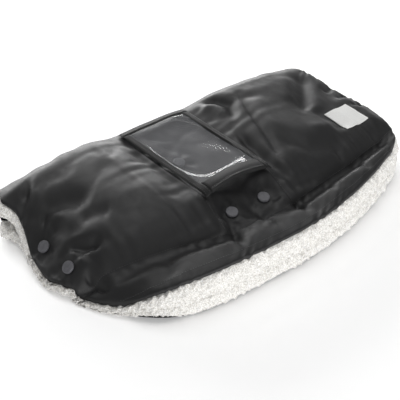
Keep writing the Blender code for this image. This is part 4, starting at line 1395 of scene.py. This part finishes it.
def spline(knots: Array, count: int) -> Array:
    """Smooth curve through knots, by the cubic that takes its slope from the knots beside.

    Args:
        knots: Knots along the first axis.
        count: Number of points along the curve.

    Returns:
        Points along the first axis.
    """
    padded = np.concatenate([2 * knots[:1] - knots[1:2], knots, 2 * knots[-1:] - knots[-2:-1]])
    place = np.linspace(0.0, len(knots) - 1.0, count)
    index = np.clip(place.astype(int), 0, len(knots) - 2)
    t = (place - index).reshape((-1,) + (1,) * (knots.ndim - 1))
    a, b, c, d = [padded[index + k] for k in range(4)]
    return 0.5 * (2 * b + (c - a) * t + (2 * a - 5 * b + 4 * c - d) * t**2 + (3 * b - a - 3 * c + d) * t**3)


@dataclass
class TeddyLining:
    """The fleece: a curled border round the mouth and ends of each half, and the inside faces."""

    top: PaddedTop
    pile: float = 0.0028
    knob: float = 0.0046
    small_knob: float = 0.46
    small_share: float = 0.42
    back: float = 0.0012
    border_points: int = 34
    border_tuck: float = 0.0020
    inside_step: float = 0.0026
    under_cloth: float = 0.0040
    halves_gap: float = 0.0008
    least_lower: float = 0.0012
    seat_reach: float = 0.0175
    seat_sink: float = 0.0003
    seat_tilts: tuple[float, float] = (0.6, 0.3)
    curl_count: int = 3300
    curl_bends: int = 7
    curl_rows_clear: int = 7
    curl_radius: float = 0.0021
    curl_thread: float = 0.00062
    curl_clear: float = 0.0012
    gusset_turn: float = math.radians(50.0)
    gusset_depth: float = 0.0008
    gusset_back: float = 0.0018
    gusset_bend: float = 0.006

    def inner_heights(self, columns: Array, rows: Array) -> tuple[Array, Array]:
        """Inner faces of the upper and lower quilt over the plan, before the fold bends them.

        Args:
            columns: Columns of points.
            rows: Rows of points.

        Returns:
            Heights of both faces.
        """
        form = self.top.form
        x, y = form.plan(columns, rows)
        natural = self.top.natural(columns, rows)
        lower = np.minimum(form.thickness, (natural - form.lip_gap) / 2)
        upper = natural - lower
        for stud in STUDS:
            socket_top, foot = stud.faces()
            tilt, weight = stud.tilt(x, y), stud.pull(x, y, self.seat_reach, stud.fade)
            upper += (socket_top + self.seat_sink + self.seat_tilts[0] * tilt - upper) * weight
            lower += (foot - self.seat_sink + self.seat_tilts[1] * tilt - lower) * weight
        upper = np.minimum(upper, self.top.flat_height(columns, rows) - self.under_cloth)
        return upper, np.minimum(lower, np.maximum(upper - self.halves_gap, self.least_lower))

    def lumps(self, u: Array, v: Array, seeds: tuple[int, int], slant: float = 0.0) -> Array:
        """Large knobs of pile with small ones on them.

        Args:
            u: First coordinate on the surface, in metres.
            v: Second coordinate.
            seeds: Seeds of both scatters.
            slant: How far the small knobs' net leans against the large ones'.

        Returns:
            Heights, in shares of the pile.
        """
        small = knobs(u + slant * v, v, self.knob * self.small_knob, seeds[1])
        return knobs(u, v, self.knob, seeds[0]) + self.small_share * small

    def pressed(self, flat: Array, normals: Array, lumps: Array) -> Array:
        """Raise lumps of pile on an inside face, where hands press it flatter than at the border."""
        return flat + normals * (self.pile * (lumps - 0.9) * 0.8)[..., None]

    def section(self, half: Half, columns: Array, rows: Array, edge: Array,
                out: Array) -> tuple[tuple[float, Array], ...]:
        """Places that a border's section runs through, each a distance outwards and the heights.

        The section runs from behind the shell's hem, out and round, and back in under the lining.

        Args:
            half: The half that it lines.
            columns: Columns along the free edge.
            rows: Rows along it.
            edge: Points of the shell's edge.
            out: Plan directions outwards.

        Returns:
            Distance and heights of each place.
        """
        upper_inner, lower_inner = self.inner_heights(columns, rows)
        closing = smooth_step((0.25 - rows) / 0.5)
        middle, hem = edge[:, 2] * 0.50, edge[:, 2] - self.border_tuck
        if half is Half.LOWER:
            high = lower_inner + (middle - 0.0004 - lower_inner) * closing
            foot = 0.0006 + 0.8 * ShellCover(self.top).edge_rise(columns, rows)
            return ((-0.0140, high - 0.0008), (-0.0012, high), (0.0030, high - 0.22 * (high - foot)),
                    (0.0040, high - 0.45 * (high - foot)), (0.0036, high - 0.72 * (high - foot)),
                    (0.0004, foot + 0.0006), (-0.0100, foot))
        tucks = []
        for offset in (-0.0100, -0.0020):
            place = self.top.form.locate(*(edge[:, :2] + out * offset).T)
            tucks.append(np.minimum(hem, self.top.flat_height(*place) - self.under_cloth))
        low = upper_inner + (middle + 0.0004 - upper_inner) * closing
        return ((-0.010, tucks[0]), (-0.0020, tucks[1] - 0.0005), (0.0024, hem - 0.22 * (hem - low)),
                (0.0040, hem - 0.52 * (hem - low)), (0.0038, hem - 0.82 * (hem - low)),
                (0.0026, low - 0.0022), (-0.0140, low + 0.0008))

    def border(self, half: Half, peri: Perimeter) -> None:
        """Build one half's curled border.

        Args:
            half: The half that it lines.
            peri: The free edge.
        """
        columns, rows, edge, out = peri.lay_out()
        stations = self.section(half, columns, rows, edge, out)
        knots = np.array([np.stack([np.full_like(z, away), z], axis=-1) for away, z in stations])
        section = spline(knots, self.border_points)
        points = np.concatenate([edge[None, :, :2] + out[None] * section[..., :1], section[..., 1:]], axis=-1)
        normals = grid_normals(points)
        length = np.concatenate([[0.0], np.cumsum(np.linalg.norm(np.diff(edge, axis=0), axis=1))])
        down = np.cumsum(np.linalg.norm(np.diff(points, axis=0, prepend=points[:1]), axis=-1), axis=0)
        seed = 11 if half is Half.UPPER else 12
        lumps = self.lumps(length + 0 * down, down, (seed, seed + 20), 0.7)
        ends = smooth_step(np.minimum(down, down[-1] - down) / 0.004)
        points = points + normals * (self.pile * (lumps - 0.55) * (0.3 + 0.7 * ends))[..., None]
        points[..., 2] = np.maximum(points[..., 2], 0.0003)
        self.curls(half, points, normals, edge[:, 2])
        body, faces = slab(points, points - normals * self.back)
        made = make_piece(f"fleece_border_{half.name.lower()}", body, faces, FLEECE, half, smooth=180.0)

    def curls(self, half: Half, points: Array, normals: Array, ceiling: Array) -> None:
        """Strew open loops of yarn over a border: each an arc of a ring that stands in the pile.

        A loop is the points radius times (cosine, sine) of its turn, in a plane that leans
        at random about the surface's normal, with a four-sided thread carried along it.

        Args:
            half: The half that the border lines.
            points: Grid of points of the border.
            normals: Normals at those points.
            ceiling: Height of the cloth's edge over each column of the grid.
        """
        rng = np.random.default_rng(40 if half is Half.UPPER else 41)
        rows, columns = points.shape[:2]
        count, clear = self.curl_count, self.curl_rows_clear
        row = (rng.random(count) * (rows - 2 * clear) + clear).astype(int)
        column = rng.random(count) * (columns - 2)
        cell = column.astype(int)
        place = points[row, cell]
        place = place + (points[row, cell + 1] - place) * (column % 1)[:, None]
        up = normals[row, cell]
        first = unit(np.cross(up, unit(rng.normal(size=(count, 3)))))
        lean = rng.normal(scale=0.75, size=(count, 1))
        second = unit(np.cross(up, first) * np.sin(lean) + up * np.cos(lean))
        radius = self.curl_radius * (0.65 + 0.7 * rng.random((count, 1)))
        span = math.radians(230) + math.radians(90) * rng.random((count, 1))
        turns = (math.pi / 2 + span * np.linspace(-0.5, 0.5, self.curl_bends))[..., None]
        middle = place + up * self.pile * (0.15 + 0.35 * rng.random((count, 1)))
        arc = np.cos(turns) * first[:, None] + np.sin(turns) * second[:, None]
        centre = middle[:, None] + radius[:, None] * arc
        along = unit(np.gradient(centre, axis=1))
        side = unit(np.cross(first, second))[:, None] + np.zeros_like(along)
        swell = np.sin(np.linspace(0.5, math.pi - 0.5, self.curl_bends))
        thread = self.curl_thread * (0.8 + 0.5 * rng.random((count, 1))) * swell
        body, faces = rods(centre, side, np.cross(along, side), thread, math.pi / 4, 4)
        body[..., 2] = np.clip(body[..., 2], 0.0002, (ceiling[cell] - self.curl_clear)[:, None, None])
        make_piece(f"fleece_curls_{half.name.lower()}", body, faces, FLEECE, half, smooth=180.0)

    def gusset(self) -> None:
        """Build the fleece across the fold, which spans from half to half; it rides on neither half."""
        form = self.top.form
        count = int((form.left_reach + form.right_reach) / self.inside_step)
        turns = np.linspace(-self.gusset_turn, self.gusset_turn, 25)
        c, turn = np.meshgrid(np.linspace(-1.95, 1.95, count), turns)
        r = (form.crest_y - form.seam_y + (form.fold_y - form.crest_y) * np.cos(turn)) / form.span
        upper, lower = self.inner_heights(c, r)
        height = np.where(turn > 0, upper - self.gusset_depth, lower + self.gusset_depth)
        x, y = form.plan(c, r)
        flat = form.wrap(x, y, height, form.thickness + self.gusset_depth)
        normals = grid_normals(flat)
        face = self.pressed(flat, normals, self.lumps(x, flat[..., 2], (33, 34)))
        body, faces = slab(face, flat - normals * self.gusset_back)
        made = make_piece("fleece_gusset", body, faces, FLEECE, None, smooth=180.0)
        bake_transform(made)

    def inside(self, half: Half) -> None:
        """Build the fleece's inside face of one half, from end to end.

        Args:
            half: The half that it lines.
        """
        form = self.top.form
        count_c = int((form.left_reach + form.right_reach) / self.inside_step)
        count_r = int((form.fold_y - form.front_y) / self.inside_step)
        c, r = np.meshgrid(np.linspace(-1.965, 1.965, count_c), np.linspace(-0.93, 1.0, count_r))
        x, y = form.plan(c, r)
        upper, lower = self.inner_heights(c, r)
        flat = form.wrap(x, y, upper if half is Half.UPPER else lower, form.thickness)
        normals = grid_normals(flat) * (-1 if half is Half.UPPER else 1)
        face, back = self.pressed(flat, normals, self.lumps(x, y, (31, 32))), flat - normals * self.back
        body, faces = slab(back, face) if half is Half.UPPER else slab(face, back)
        made = make_piece(f"fleece_inside_{half.name.lower()}", body, faces, FLEECE, half, smooth=180.0)
        if half is Half.UPPER:
            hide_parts("upper_lining_left", "upper_lining_centre", "upper_lining_right")
        else:
            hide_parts("lower_lining")


@dataclass
class PhonePocket:
    """Clear window with its woven bindings at the sides and back and its hem at the mouth."""

    top: PaddedTop
    setback: float = 0.042
    length: float = 0.174
    film_thickness: float = 0.0008
    film_lift: float = 0.0003
    tape_thickness: float = 0.0014
    tape_round: float = 0.0024
    side_width: float = 0.0090
    back_width: float = 0.0120
    hem_depth: float = 0.0220
    bead_height: float = 0.0012
    bead_width: float = 0.0014
    bead_inset: float = 0.0012
    gape: float = 0.0050
    gape_reach: float = 0.030
    dish: float = 0.0030
    dish_power: float = 3.2
    arch: tuple[float, ...] = (0.0, 0.0, 0.0, 0.070, 0.075, 0.055, 0.045, 0.040, 0.0)
    step: float = 0.0016

    def row(self, behind: float) -> float:
        """Row at a distance behind the pocket's mouth."""
        return (self.setback + behind) / self.top.form.span

    def film(self, columns: Array, rows: Array, lift: Array | float = 0.0) -> Array:
        """Outer face of the film: strung between its side seams, arched, with slack waves.

        Args:
            columns: Columns of points.
            rows: Rows of points.
            lift: Height over the film.

        Returns:
            Points.
        """
        form = self.top.form
        left, right = [form.natural_height(np.full_like(rows, side), rows) for side in (-1.0, 1.0)]
        flat = left + (right - left) * (columns + 1) / 2
        bow = 1 - columns**2
        arch = form.crest_height * form.at_rows(rows, self.arch) * bow
        x, y = form.plan(columns, rows)
        behind = rows * form.span - self.setback
        mouth = self.gape * bow * np.exp(-(behind / self.gape_reach)**2)
        share_in = (behind - self.hem_depth) / (self.length - self.back_width - self.hem_depth)
        rim = np.abs(columns / 0.86)**self.dish_power + np.abs(2 * share_in - 1)**self.dish_power
        dip = self.dish * np.tanh(np.clip(1 - rim, 0.0, 1.0) / 0.3)
        slack = (0.0008 * np.sin(52 * y + 40 * x + 1.0) + 0.0004 * np.sin(96 * x - 61 * y)) * bow
        height = flat + arch + mouth - dip + slack + self.film_lift + self.film_thickness + lift
        return form.wrap(x, y, height, -lift)

    def grid(self, low_column: float, high_column: float, low_row: float,
             high_row: float) -> tuple[Array, Array]:
        """Even columns and rows over a patch of the film, about a step apart."""
        form = self.top.form
        across = max(4, int((high_column - low_column) * form.half_pocket / self.step))
        along = max(4, int((high_row - low_row) * form.span / self.step))
        return np.meshgrid(np.linspace(low_column, high_column, across + 1),
                           np.linspace(low_row, high_row, along + 1))

    def tape(self, name: str, patch: tuple[float, float, float, float], node: str,
             bead: float = 0.0) -> None:
        """Build a strip of tape on the film, rounded at its edges.

        Args:
            name: Name of the piece.
            patch: Lowest and highest column, then lowest and highest row.
            node: The CAD node that it stands for.
            bead: Height of the turned edge along the lowest row.
        """
        form = self.top.form
        c, r = self.grid(*patch)
        widths = (patch[1] - patch[0]) * form.half_pocket, (patch[3] - patch[2]) * form.span
        soft = []
        for places, width in zip((c, r), widths):
            inwards = 1 - np.abs(2 * (places - places.min()) / (places.max() - places.min()) - 1)
            soft.append(1 - np.clip(1 - inwards * width / self.tape_round, 0.0, 1.0)**2 * 0.75)
        behind = (r - r.min()) * form.span
        lift = self.film_lift + self.tape_thickness * np.minimum(*soft)
        lift = lift + bead * np.exp(-((behind - self.bead_inset) / self.bead_width)**2)
        under = 0.0002 - bead * np.exp(-(behind / self.bead_width)**2)
        made = make_piece(name, *slab(self.film(c, r, lift), self.film(c, r, under)), TAPE, Half.UPPER)
        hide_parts(node)

    def build(self) -> None:
        """Build the window, the three bindings and the hem."""
        inner = 1 - self.side_width / self.top.form.half_pocket
        mouth, lip, hem, tape, back = [self.row(behind) for behind in (
            0.0, 0.002, self.hem_depth, self.length - self.back_width, self.length)]
        c, r = self.grid(-0.995, 0.995, lip, back)
        points, faces = slab(self.film(c, r), self.film(c, r, -self.film_thickness))
        window = make_piece("pocket_film", points, faces, VINYL, Half.UPPER)
        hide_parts("pocket_window")
        self.tape("pocket_side_tape_left", (-1.0, -inner, mouth, tape), "pocket_binding_left")
        self.tape("pocket_side_tape_right", (inner, 1.0, mouth, tape), "pocket_binding_right")
        self.tape("pocket_back_tape", (-1.0, 1.0, tape, back), "pocket_binding_back")
        self.tape("pocket_mouth_hem", (0.004 - inner, inner - 0.004, mouth, hem), "pocket_hem",
                  self.bead_height)


@dataclass
class PressStuds:
    """Press studs: moulded caps and posts outside, plated sockets and studs inside.

    Each profile is pairs of radius and height, from the lower pole to the upper one. The cap's is
    in shares of its radius and height, and starts over the shank. The shank is a radius and a foot.
    """

    sides: int = 40
    cap_radius: float = 0.0075
    cap_height: float = 0.0032
    shank: tuple[float, float] = (0.0020, -0.0040)
    cap_profile: tuple[tuple[float, float], ...] = (
        (0.95, 0.0), (0.99, 0.06), (1.0, 0.20), (1.0, 0.72), (0.985, 0.84), (0.95, 0.93), (0.90, 0.97),
        (0.85, 0.975), (0.82, 0.955), (0.78, 0.95), (0.60, 0.97), (0.30, 1.0), (0.0, 1.01))
    ball_profile: tuple[tuple[float, float], ...] = (
        (0, 0.0), (0.0055, 0.0), (0.0060, 0.0003), (0.0058, 0.0008), (0.0048, 0.0010), (0.0024, 0.0011),
        (0.0019, 0.0014), (0.0023, 0.0018), (0.0021, 0.0022), (0.0014, 0.0024), (0, 0.0024))
    post_profile: tuple[tuple[float, float], ...] = (
        (0, -0.0012), (0.0052, -0.0012), (0.0061, -0.0010), (0.0065, -0.0005), (0.0062, 0.0),
        (0.0020, 0.0), (0.0020, 0.0030), (0, 0.0030))
    ring_radii: tuple[float, float] = (0.0034, 0.0062)
    ring_height: float = 0.0018
    ring_lines: int = 16
    sink: float = 0.0003

    def cap(self, stud: Stud) -> None:
        """Build the cap, with a shallow groove inside its rim. It leans with the cloth."""
        width, foot = self.shank
        crown = np.array(self.cap_profile) * (self.cap_radius, self.cap_height)
        profile = np.concatenate([[(0.0, foot), (width, foot), (width, 0.0)], crown])
        points, faces = turned(profile, self.sides, (0.0, 0.0, self.sink))
        along = unit(np.array([1.0, 0.0, stud.slope[0]]))
        up = unit(np.array([-stud.slope[0], -stud.slope[1], 1.0]))
        points = points @ np.stack([along, np.cross(up, along), up]) + np.array([stud.x, stud.y, stud.seat])
        made = make_piece(f"stud_cap_{stud.name}", points, faces, CAP, Half.UPPER)
        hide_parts(f"snap_cap_{stud.name}")

    def ring(self, stud: Stud, top: float) -> None:
        """Build the socket: a pressed ring with a rolled lip round its bore.

        Args:
            stud: The press stud.
            top: Height of the ring's upper face.
        """
        bore, outer = self.ring_radii
        turns = np.linspace(0.0, 2 * math.pi, self.ring_lines + 1)[:-1, None]
        radius = (outer + bore) / 2 + (outer - bore) / 2 * np.cos(turns)
        height = self.ring_height / 2 * (np.sin(turns) - 1) + top
        angle = 2 * math.pi * np.arange(self.sides) / self.sides
        places = radius * np.cos(angle) + stud.x, radius * np.sin(angle) + stud.y, height
        points = np.stack(np.broadcast_arrays(*places), axis=-1)
        index = np.arange(self.ring_lines * self.sides).reshape(self.ring_lines, self.sides)
        up, over = np.roll(index, -1, axis=0), np.roll(index, -1, axis=1)
        faces = np.stack([index, over, np.roll(up, -1, axis=1), up], axis=-1).reshape(-1, 4)
        made = make_piece(f"stud_socket_{stud.name}", points, faces, STEEL, Half.UPPER)
        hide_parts(f"snap_socket_{stud.name}")

    def ball(self, stud: Stud, foot: float) -> None:
        """Build the stud: a flange with a necked ball that the socket grips."""
        points, faces = turned(np.array(self.ball_profile), self.sides, (stud.x, stud.y, foot))
        made = make_piece(f"stud_ball_{stud.name}", points, faces, STEEL, Half.LOWER)
        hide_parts(f"snap_stud_{stud.name}")

    def post(self, stud: Stud) -> None:
        """Build the post's flat head under the sole."""
        foot = (stud.x, stud.y, stud.under - self.sink)
        points, faces = turned(np.array(self.post_profile), self.sides, foot)
        made = make_piece(f"stud_post_{stud.name}", points, faces, CAP, Half.LOWER)
        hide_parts(f"snap_post_{stud.name}")

    def build(self) -> None:
        """Build all parts of the five press studs."""
        for stud in STUDS:
            socket_top, foot = stud.faces()
            self.cap(stud)
            self.ring(stud, socket_top)
            self.ball(stud, foot)
            self.post(stud)


@dataclass
class WovenLabel:
    """Square white label, sewn down near its edges, that follows the cloth."""

    top: PaddedTop
    centre: tuple[float, float] = (0.2035, -0.0145)
    size: float = 0.040
    thickness: float = 0.0008
    turn: float = math.radians(3.0)
    cells: int = 40
    lift: float = 0.0006
    sewn: float = 0.92

    def place(self, u: Array, v: Array, lift: Array | float) -> Array:
        """Points of the label at shares from -1 to 1 across and along it.

        Args:
            u: Share across.
            v: Share along.
            lift: Height over the cloth.

        Returns:
            Points.
        """
        half = self.size / 2
        x = self.centre[0] + half * (u * math.cos(self.turn) - v * math.sin(self.turn))
        y = self.centre[1] + half * (u * math.sin(self.turn) + v * math.cos(self.turn))
        height = self.top.flat_height(*self.top.form.locate(x, y))
        return np.stack([x, y, height + lift], axis=-1)

    def build(self) -> None:
        """Build the label, a little puffed between its stitches."""
        share = np.linspace(-1, 1, self.cells + 1)
        u, v = np.meshgrid(share, share)
        edge = np.maximum(np.abs(u), np.abs(v))
        puff = 0.0004 * np.clip(1 - edge**8, 0.0, 1.0) - 0.0003 * np.exp(-((edge - self.sewn) / 0.03)**2)
        outer = self.place(u, v, self.lift + self.thickness + puff)
        inner = self.place(u, v, self.lift / 2)
        made = make_piece("woven_label", *slab(outer, inner), LABEL, Half.UPPER)
        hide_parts("label")


@dataclass
class Stitching:
    """Rows of lockstitch: each stitch a short rounded bar of thread that dips in at both ends.

    A profile is the place along the stitch, the thickness and the depth, in shares of the stitch's
    length and of the thread's radius.
    """

    length: float = 0.0025
    pitch: float = 0.0032
    radius: float = 0.00028
    sides: int = 5
    profile: tuple[tuple[float, float, float], ...] = (
        (-0.5, 0.35, 1.6), (-0.34, 0.85, 0.3), (0.0, 1.0, -0.35), (0.34, 0.85, 0.3), (0.5, 0.35, 1.6))

    def sew(self, name: str, path: Array, up: Array, finish: Finish) -> None:
        """Sew a run of stitches as a single piece.

        Args:
            name: Name of the piece.
            path: Points of the seam's line, close together.
            up: Unit normals at those points.
            finish: The thread's finish.
        """
        run = np.concatenate([[0.0], np.cumsum(np.linalg.norm(np.diff(path, axis=0), axis=1))])
        count = int(run[-1] / self.pitch)
        starts = (np.arange(count) + 0.5) * run[-1] / count
        shares, swells, sinks = np.array(self.profile).T
        place = starts[:, None] + shares * self.length
        centre, lift = [np.stack([np.interp(place, run, line[:, k]) for k in range(3)], axis=-1)
                        for line in (path, up)]
        way = unit(np.gradient(centre, axis=1))
        side = unit(np.cross(way, lift))
        lift = np.cross(side, way)
        centre = centre - lift * (self.radius * sinks)[:, None]
        radii = np.broadcast_to(self.radius * swells, place.shape)
        points, faces = rods(centre, lift, side, radii, math.pi / 2, self.sides)
        make_piece(name, points, faces, finish, Half.UPPER)


@dataclass
class Seams:
    """All rows of stitches on the cover, the pocket and the label."""

    top: PaddedTop
    pocket: PhonePocket
    label: WovenLabel
    stitching: Stitching = field(default_factory=Stitching)
    many: int = 900

    def on_cover(self, name: str, columns: Array, rows: Array) -> None:
        """Sew along columns and rows of the cover.

        Args:
            name: Name of the piece.
            columns: Columns of the seam's line.
            rows: Rows of the seam's line.
        """
        step, points = 1e-3, self.top.points
        across = points(columns + step, rows) - points(columns - step, rows)
        along = points(columns, rows + step) - points(columns, rows - step)
        self.stitching.sew(name, points(columns, rows), unit(np.cross(across, along)), THREAD)

    def on_film(self, name: str, columns: Array, rows: Array) -> None:
        """Sew along columns and rows of the pocket's tapes."""
        path = self.pocket.film(columns, rows, self.pocket.film_lift + self.pocket.tape_thickness)
        self.stitching.sew(name, path, np.broadcast_to((0.0, 0.0, 1.0), path.shape), THREAD)

    def build(self) -> None:
        """Sew every row."""
        pocket, half, level = self.pocket, self.top.form.half_pocket, np.zeros(self.many)
        across, along = np.linspace(-1.97, 1.97, self.many), np.linspace(0.01, 0.97, self.many)
        self.on_cover("thread_cross_seam", across, level)
        self.on_cover("thread_front_edge", across, level - 0.80)
        self.on_cover("thread_seam_left", level - 1, along)
        self.on_cover("thread_seam_right", level + 1, along)
        tape = pocket.length - pocket.back_width
        rows = np.linspace(pocket.row(0.0) + 0.006, pocket.row(tape) - 0.004, self.many)
        for side, sign in (("left", -1.0), ("right", 1.0)):
            for k, inset in enumerate((0.0020, 0.0068)):
                self.on_film(f"thread_tape_{side}_{k}", level + sign * (1 - inset / half), rows)
        for k, inset in enumerate((0.0022, 0.0098)):
            columns = np.linspace(-0.97, 0.97, self.many)
            self.on_film(f"thread_back_tape_{k}", columns, level + pocket.row(tape + inset))
        inner = 1 - pocket.side_width / half
        for k, behind in enumerate((0.0040, 0.0190)):
            columns = np.linspace(0.03 - inner, inner - 0.03, self.many)
            self.on_film(f"thread_hem_{k}", columns, level + pocket.row(behind))
        corner = np.array([[-1, -1], [1, -1], [1, 1], [-1, 1], [-1, -1]]) * self.label.sewn
        loop = np.concatenate([np.linspace(a, b, 120, endpoint=False) for a, b in zip(corner, corner[1:])])
        path = self.label.place(*loop.T, self.label.lift + self.label.thickness)
        self.stitching.sew("thread_label", path, np.broadcast_to((0.0, 0.0, 1.0), path.shape), WHITE_THREAD)


@dataclass(frozen=True)
class Softbox:
    """A rectangular area light: its name, place, width and height, and power in watts."""

    name: str
    place: tuple[float, float, float]
    size: tuple[float, float]
    watts: float

    def hang(self, target: Vector) -> None:
        """Hang the light so that it faces a target.

        Args:
            target: The point that it faces.
        """
        data = bpy.data.lights.new(self.name, "AREA")
        data.shape = "RECTANGLE"
        data.size, data.size_y = self.size
        data.energy = self.watts
        made = bpy.data.objects.new(self.name, data)
        made.location = self.place
        made.rotation_euler = (target - Vector(self.place)).to_track_quat("-Z", "Y").to_euler()
        bpy.context.scene.collection.objects.link(made)


@dataclass
class Studio:
    """Pale floor, soft lights and the camera at the photo's angle."""

    azimuth: float = math.radians(-39.13)
    elevation: float = math.radians(34.3)
    distance: float = 1.4285
    target: tuple[float, float, float] = (-0.0377, -0.0123, 0.0400)
    lens: float = 107.28
    surroundings: float = 0.27
    half_floor: float = 6.0
    floor_height: float = -0.0003
    lit: tuple[float, float, float] = (0.0, 0.0, 0.04)
    softboxes: tuple[Softbox, ...] = (
        Softbox("back_softbox", (0.42, 1.62, 0.46), (2.0, 0.5), 38.0),
        Softbox("overhead_softbox", (0.2, 0.4, 2.0), (1.5, 1.5), 17.0),
        Softbox("high_strip", (-0.20, 1.30, 1.50), (1.0, 0.2), 2.6),
        Softbox("front_fill", (-0.20, -1.60, 0.24), (3.2, 0.4), 29.0))

    def floor(self) -> None:
        """Build the floor, wide enough to fill the view."""
        corners = [(-1, -1), (1, -1), (1, 1), (-1, 1)]
        points = [(x * self.half_floor, y * self.half_floor, self.floor_height) for x, y in corners]
        make_piece("studio_floor", points, [[0, 1, 2, 3]], SWEEP, None)

    def lights(self) -> None:
        """Hang the soft lights and set the white surroundings."""
        for softbox in self.softboxes:
            softbox.hang(Vector(self.lit))
        world = bpy.data.worlds.new("white_surroundings")
        world.use_nodes = True
        background = world.node_tree.nodes["Background"]
        background.inputs["Color"].default_value = (1, 1, 1, 1)
        background.inputs["Strength"].default_value = self.surroundings
        bpy.context.scene.world = world
        bpy.context.scene.view_settings.view_transform = "Standard"

    def camera(self) -> None:
        """Set the camera at the photo's angle."""
        a, e = self.azimuth, self.elevation
        look = Vector((-math.sin(a) * math.cos(e), math.cos(a) * math.cos(e), -math.sin(e)))
        data = bpy.data.cameras.new("photo_camera")
        data.lens = self.lens
        data.sensor_width = 36.0
        made = bpy.data.objects.new("photo_camera", data)
        made.location = Vector(self.target) - look * self.distance
        made.rotation_euler = look.to_track_quat("-Z", "Y").to_euler()
        bpy.context.scene.collection.objects.link(made)
        bpy.context.scene.camera = made


def main() -> None:
    """Build the muff piece by piece, then the studio."""
    logging.basicConfig(level=logging.INFO, format="%(message)s")
    form = QuiltForm()
    top = PaddedTop(form)
    top.settling = Settling(top)
    studio = Studio()
    studio.camera()
    cover, grid = ShellCover(top), CoverGrid(form)
    cover.upper(grid)
    cover.lower(grid)
    lining, edge = TeddyLining(top), Perimeter(top)
    for half in Half:
        lining.border(half, edge)
        lining.inside(half)
    lining.gusset()
    pocket = PhonePocket(top)
    pocket.build()
    PressStuds().build()
    label = WovenLabel(top)
    label.build()
    Seams(top, pocket, label).build()
    studio.floor()
    studio.lights()


if __name__ == "__main__":
    main()
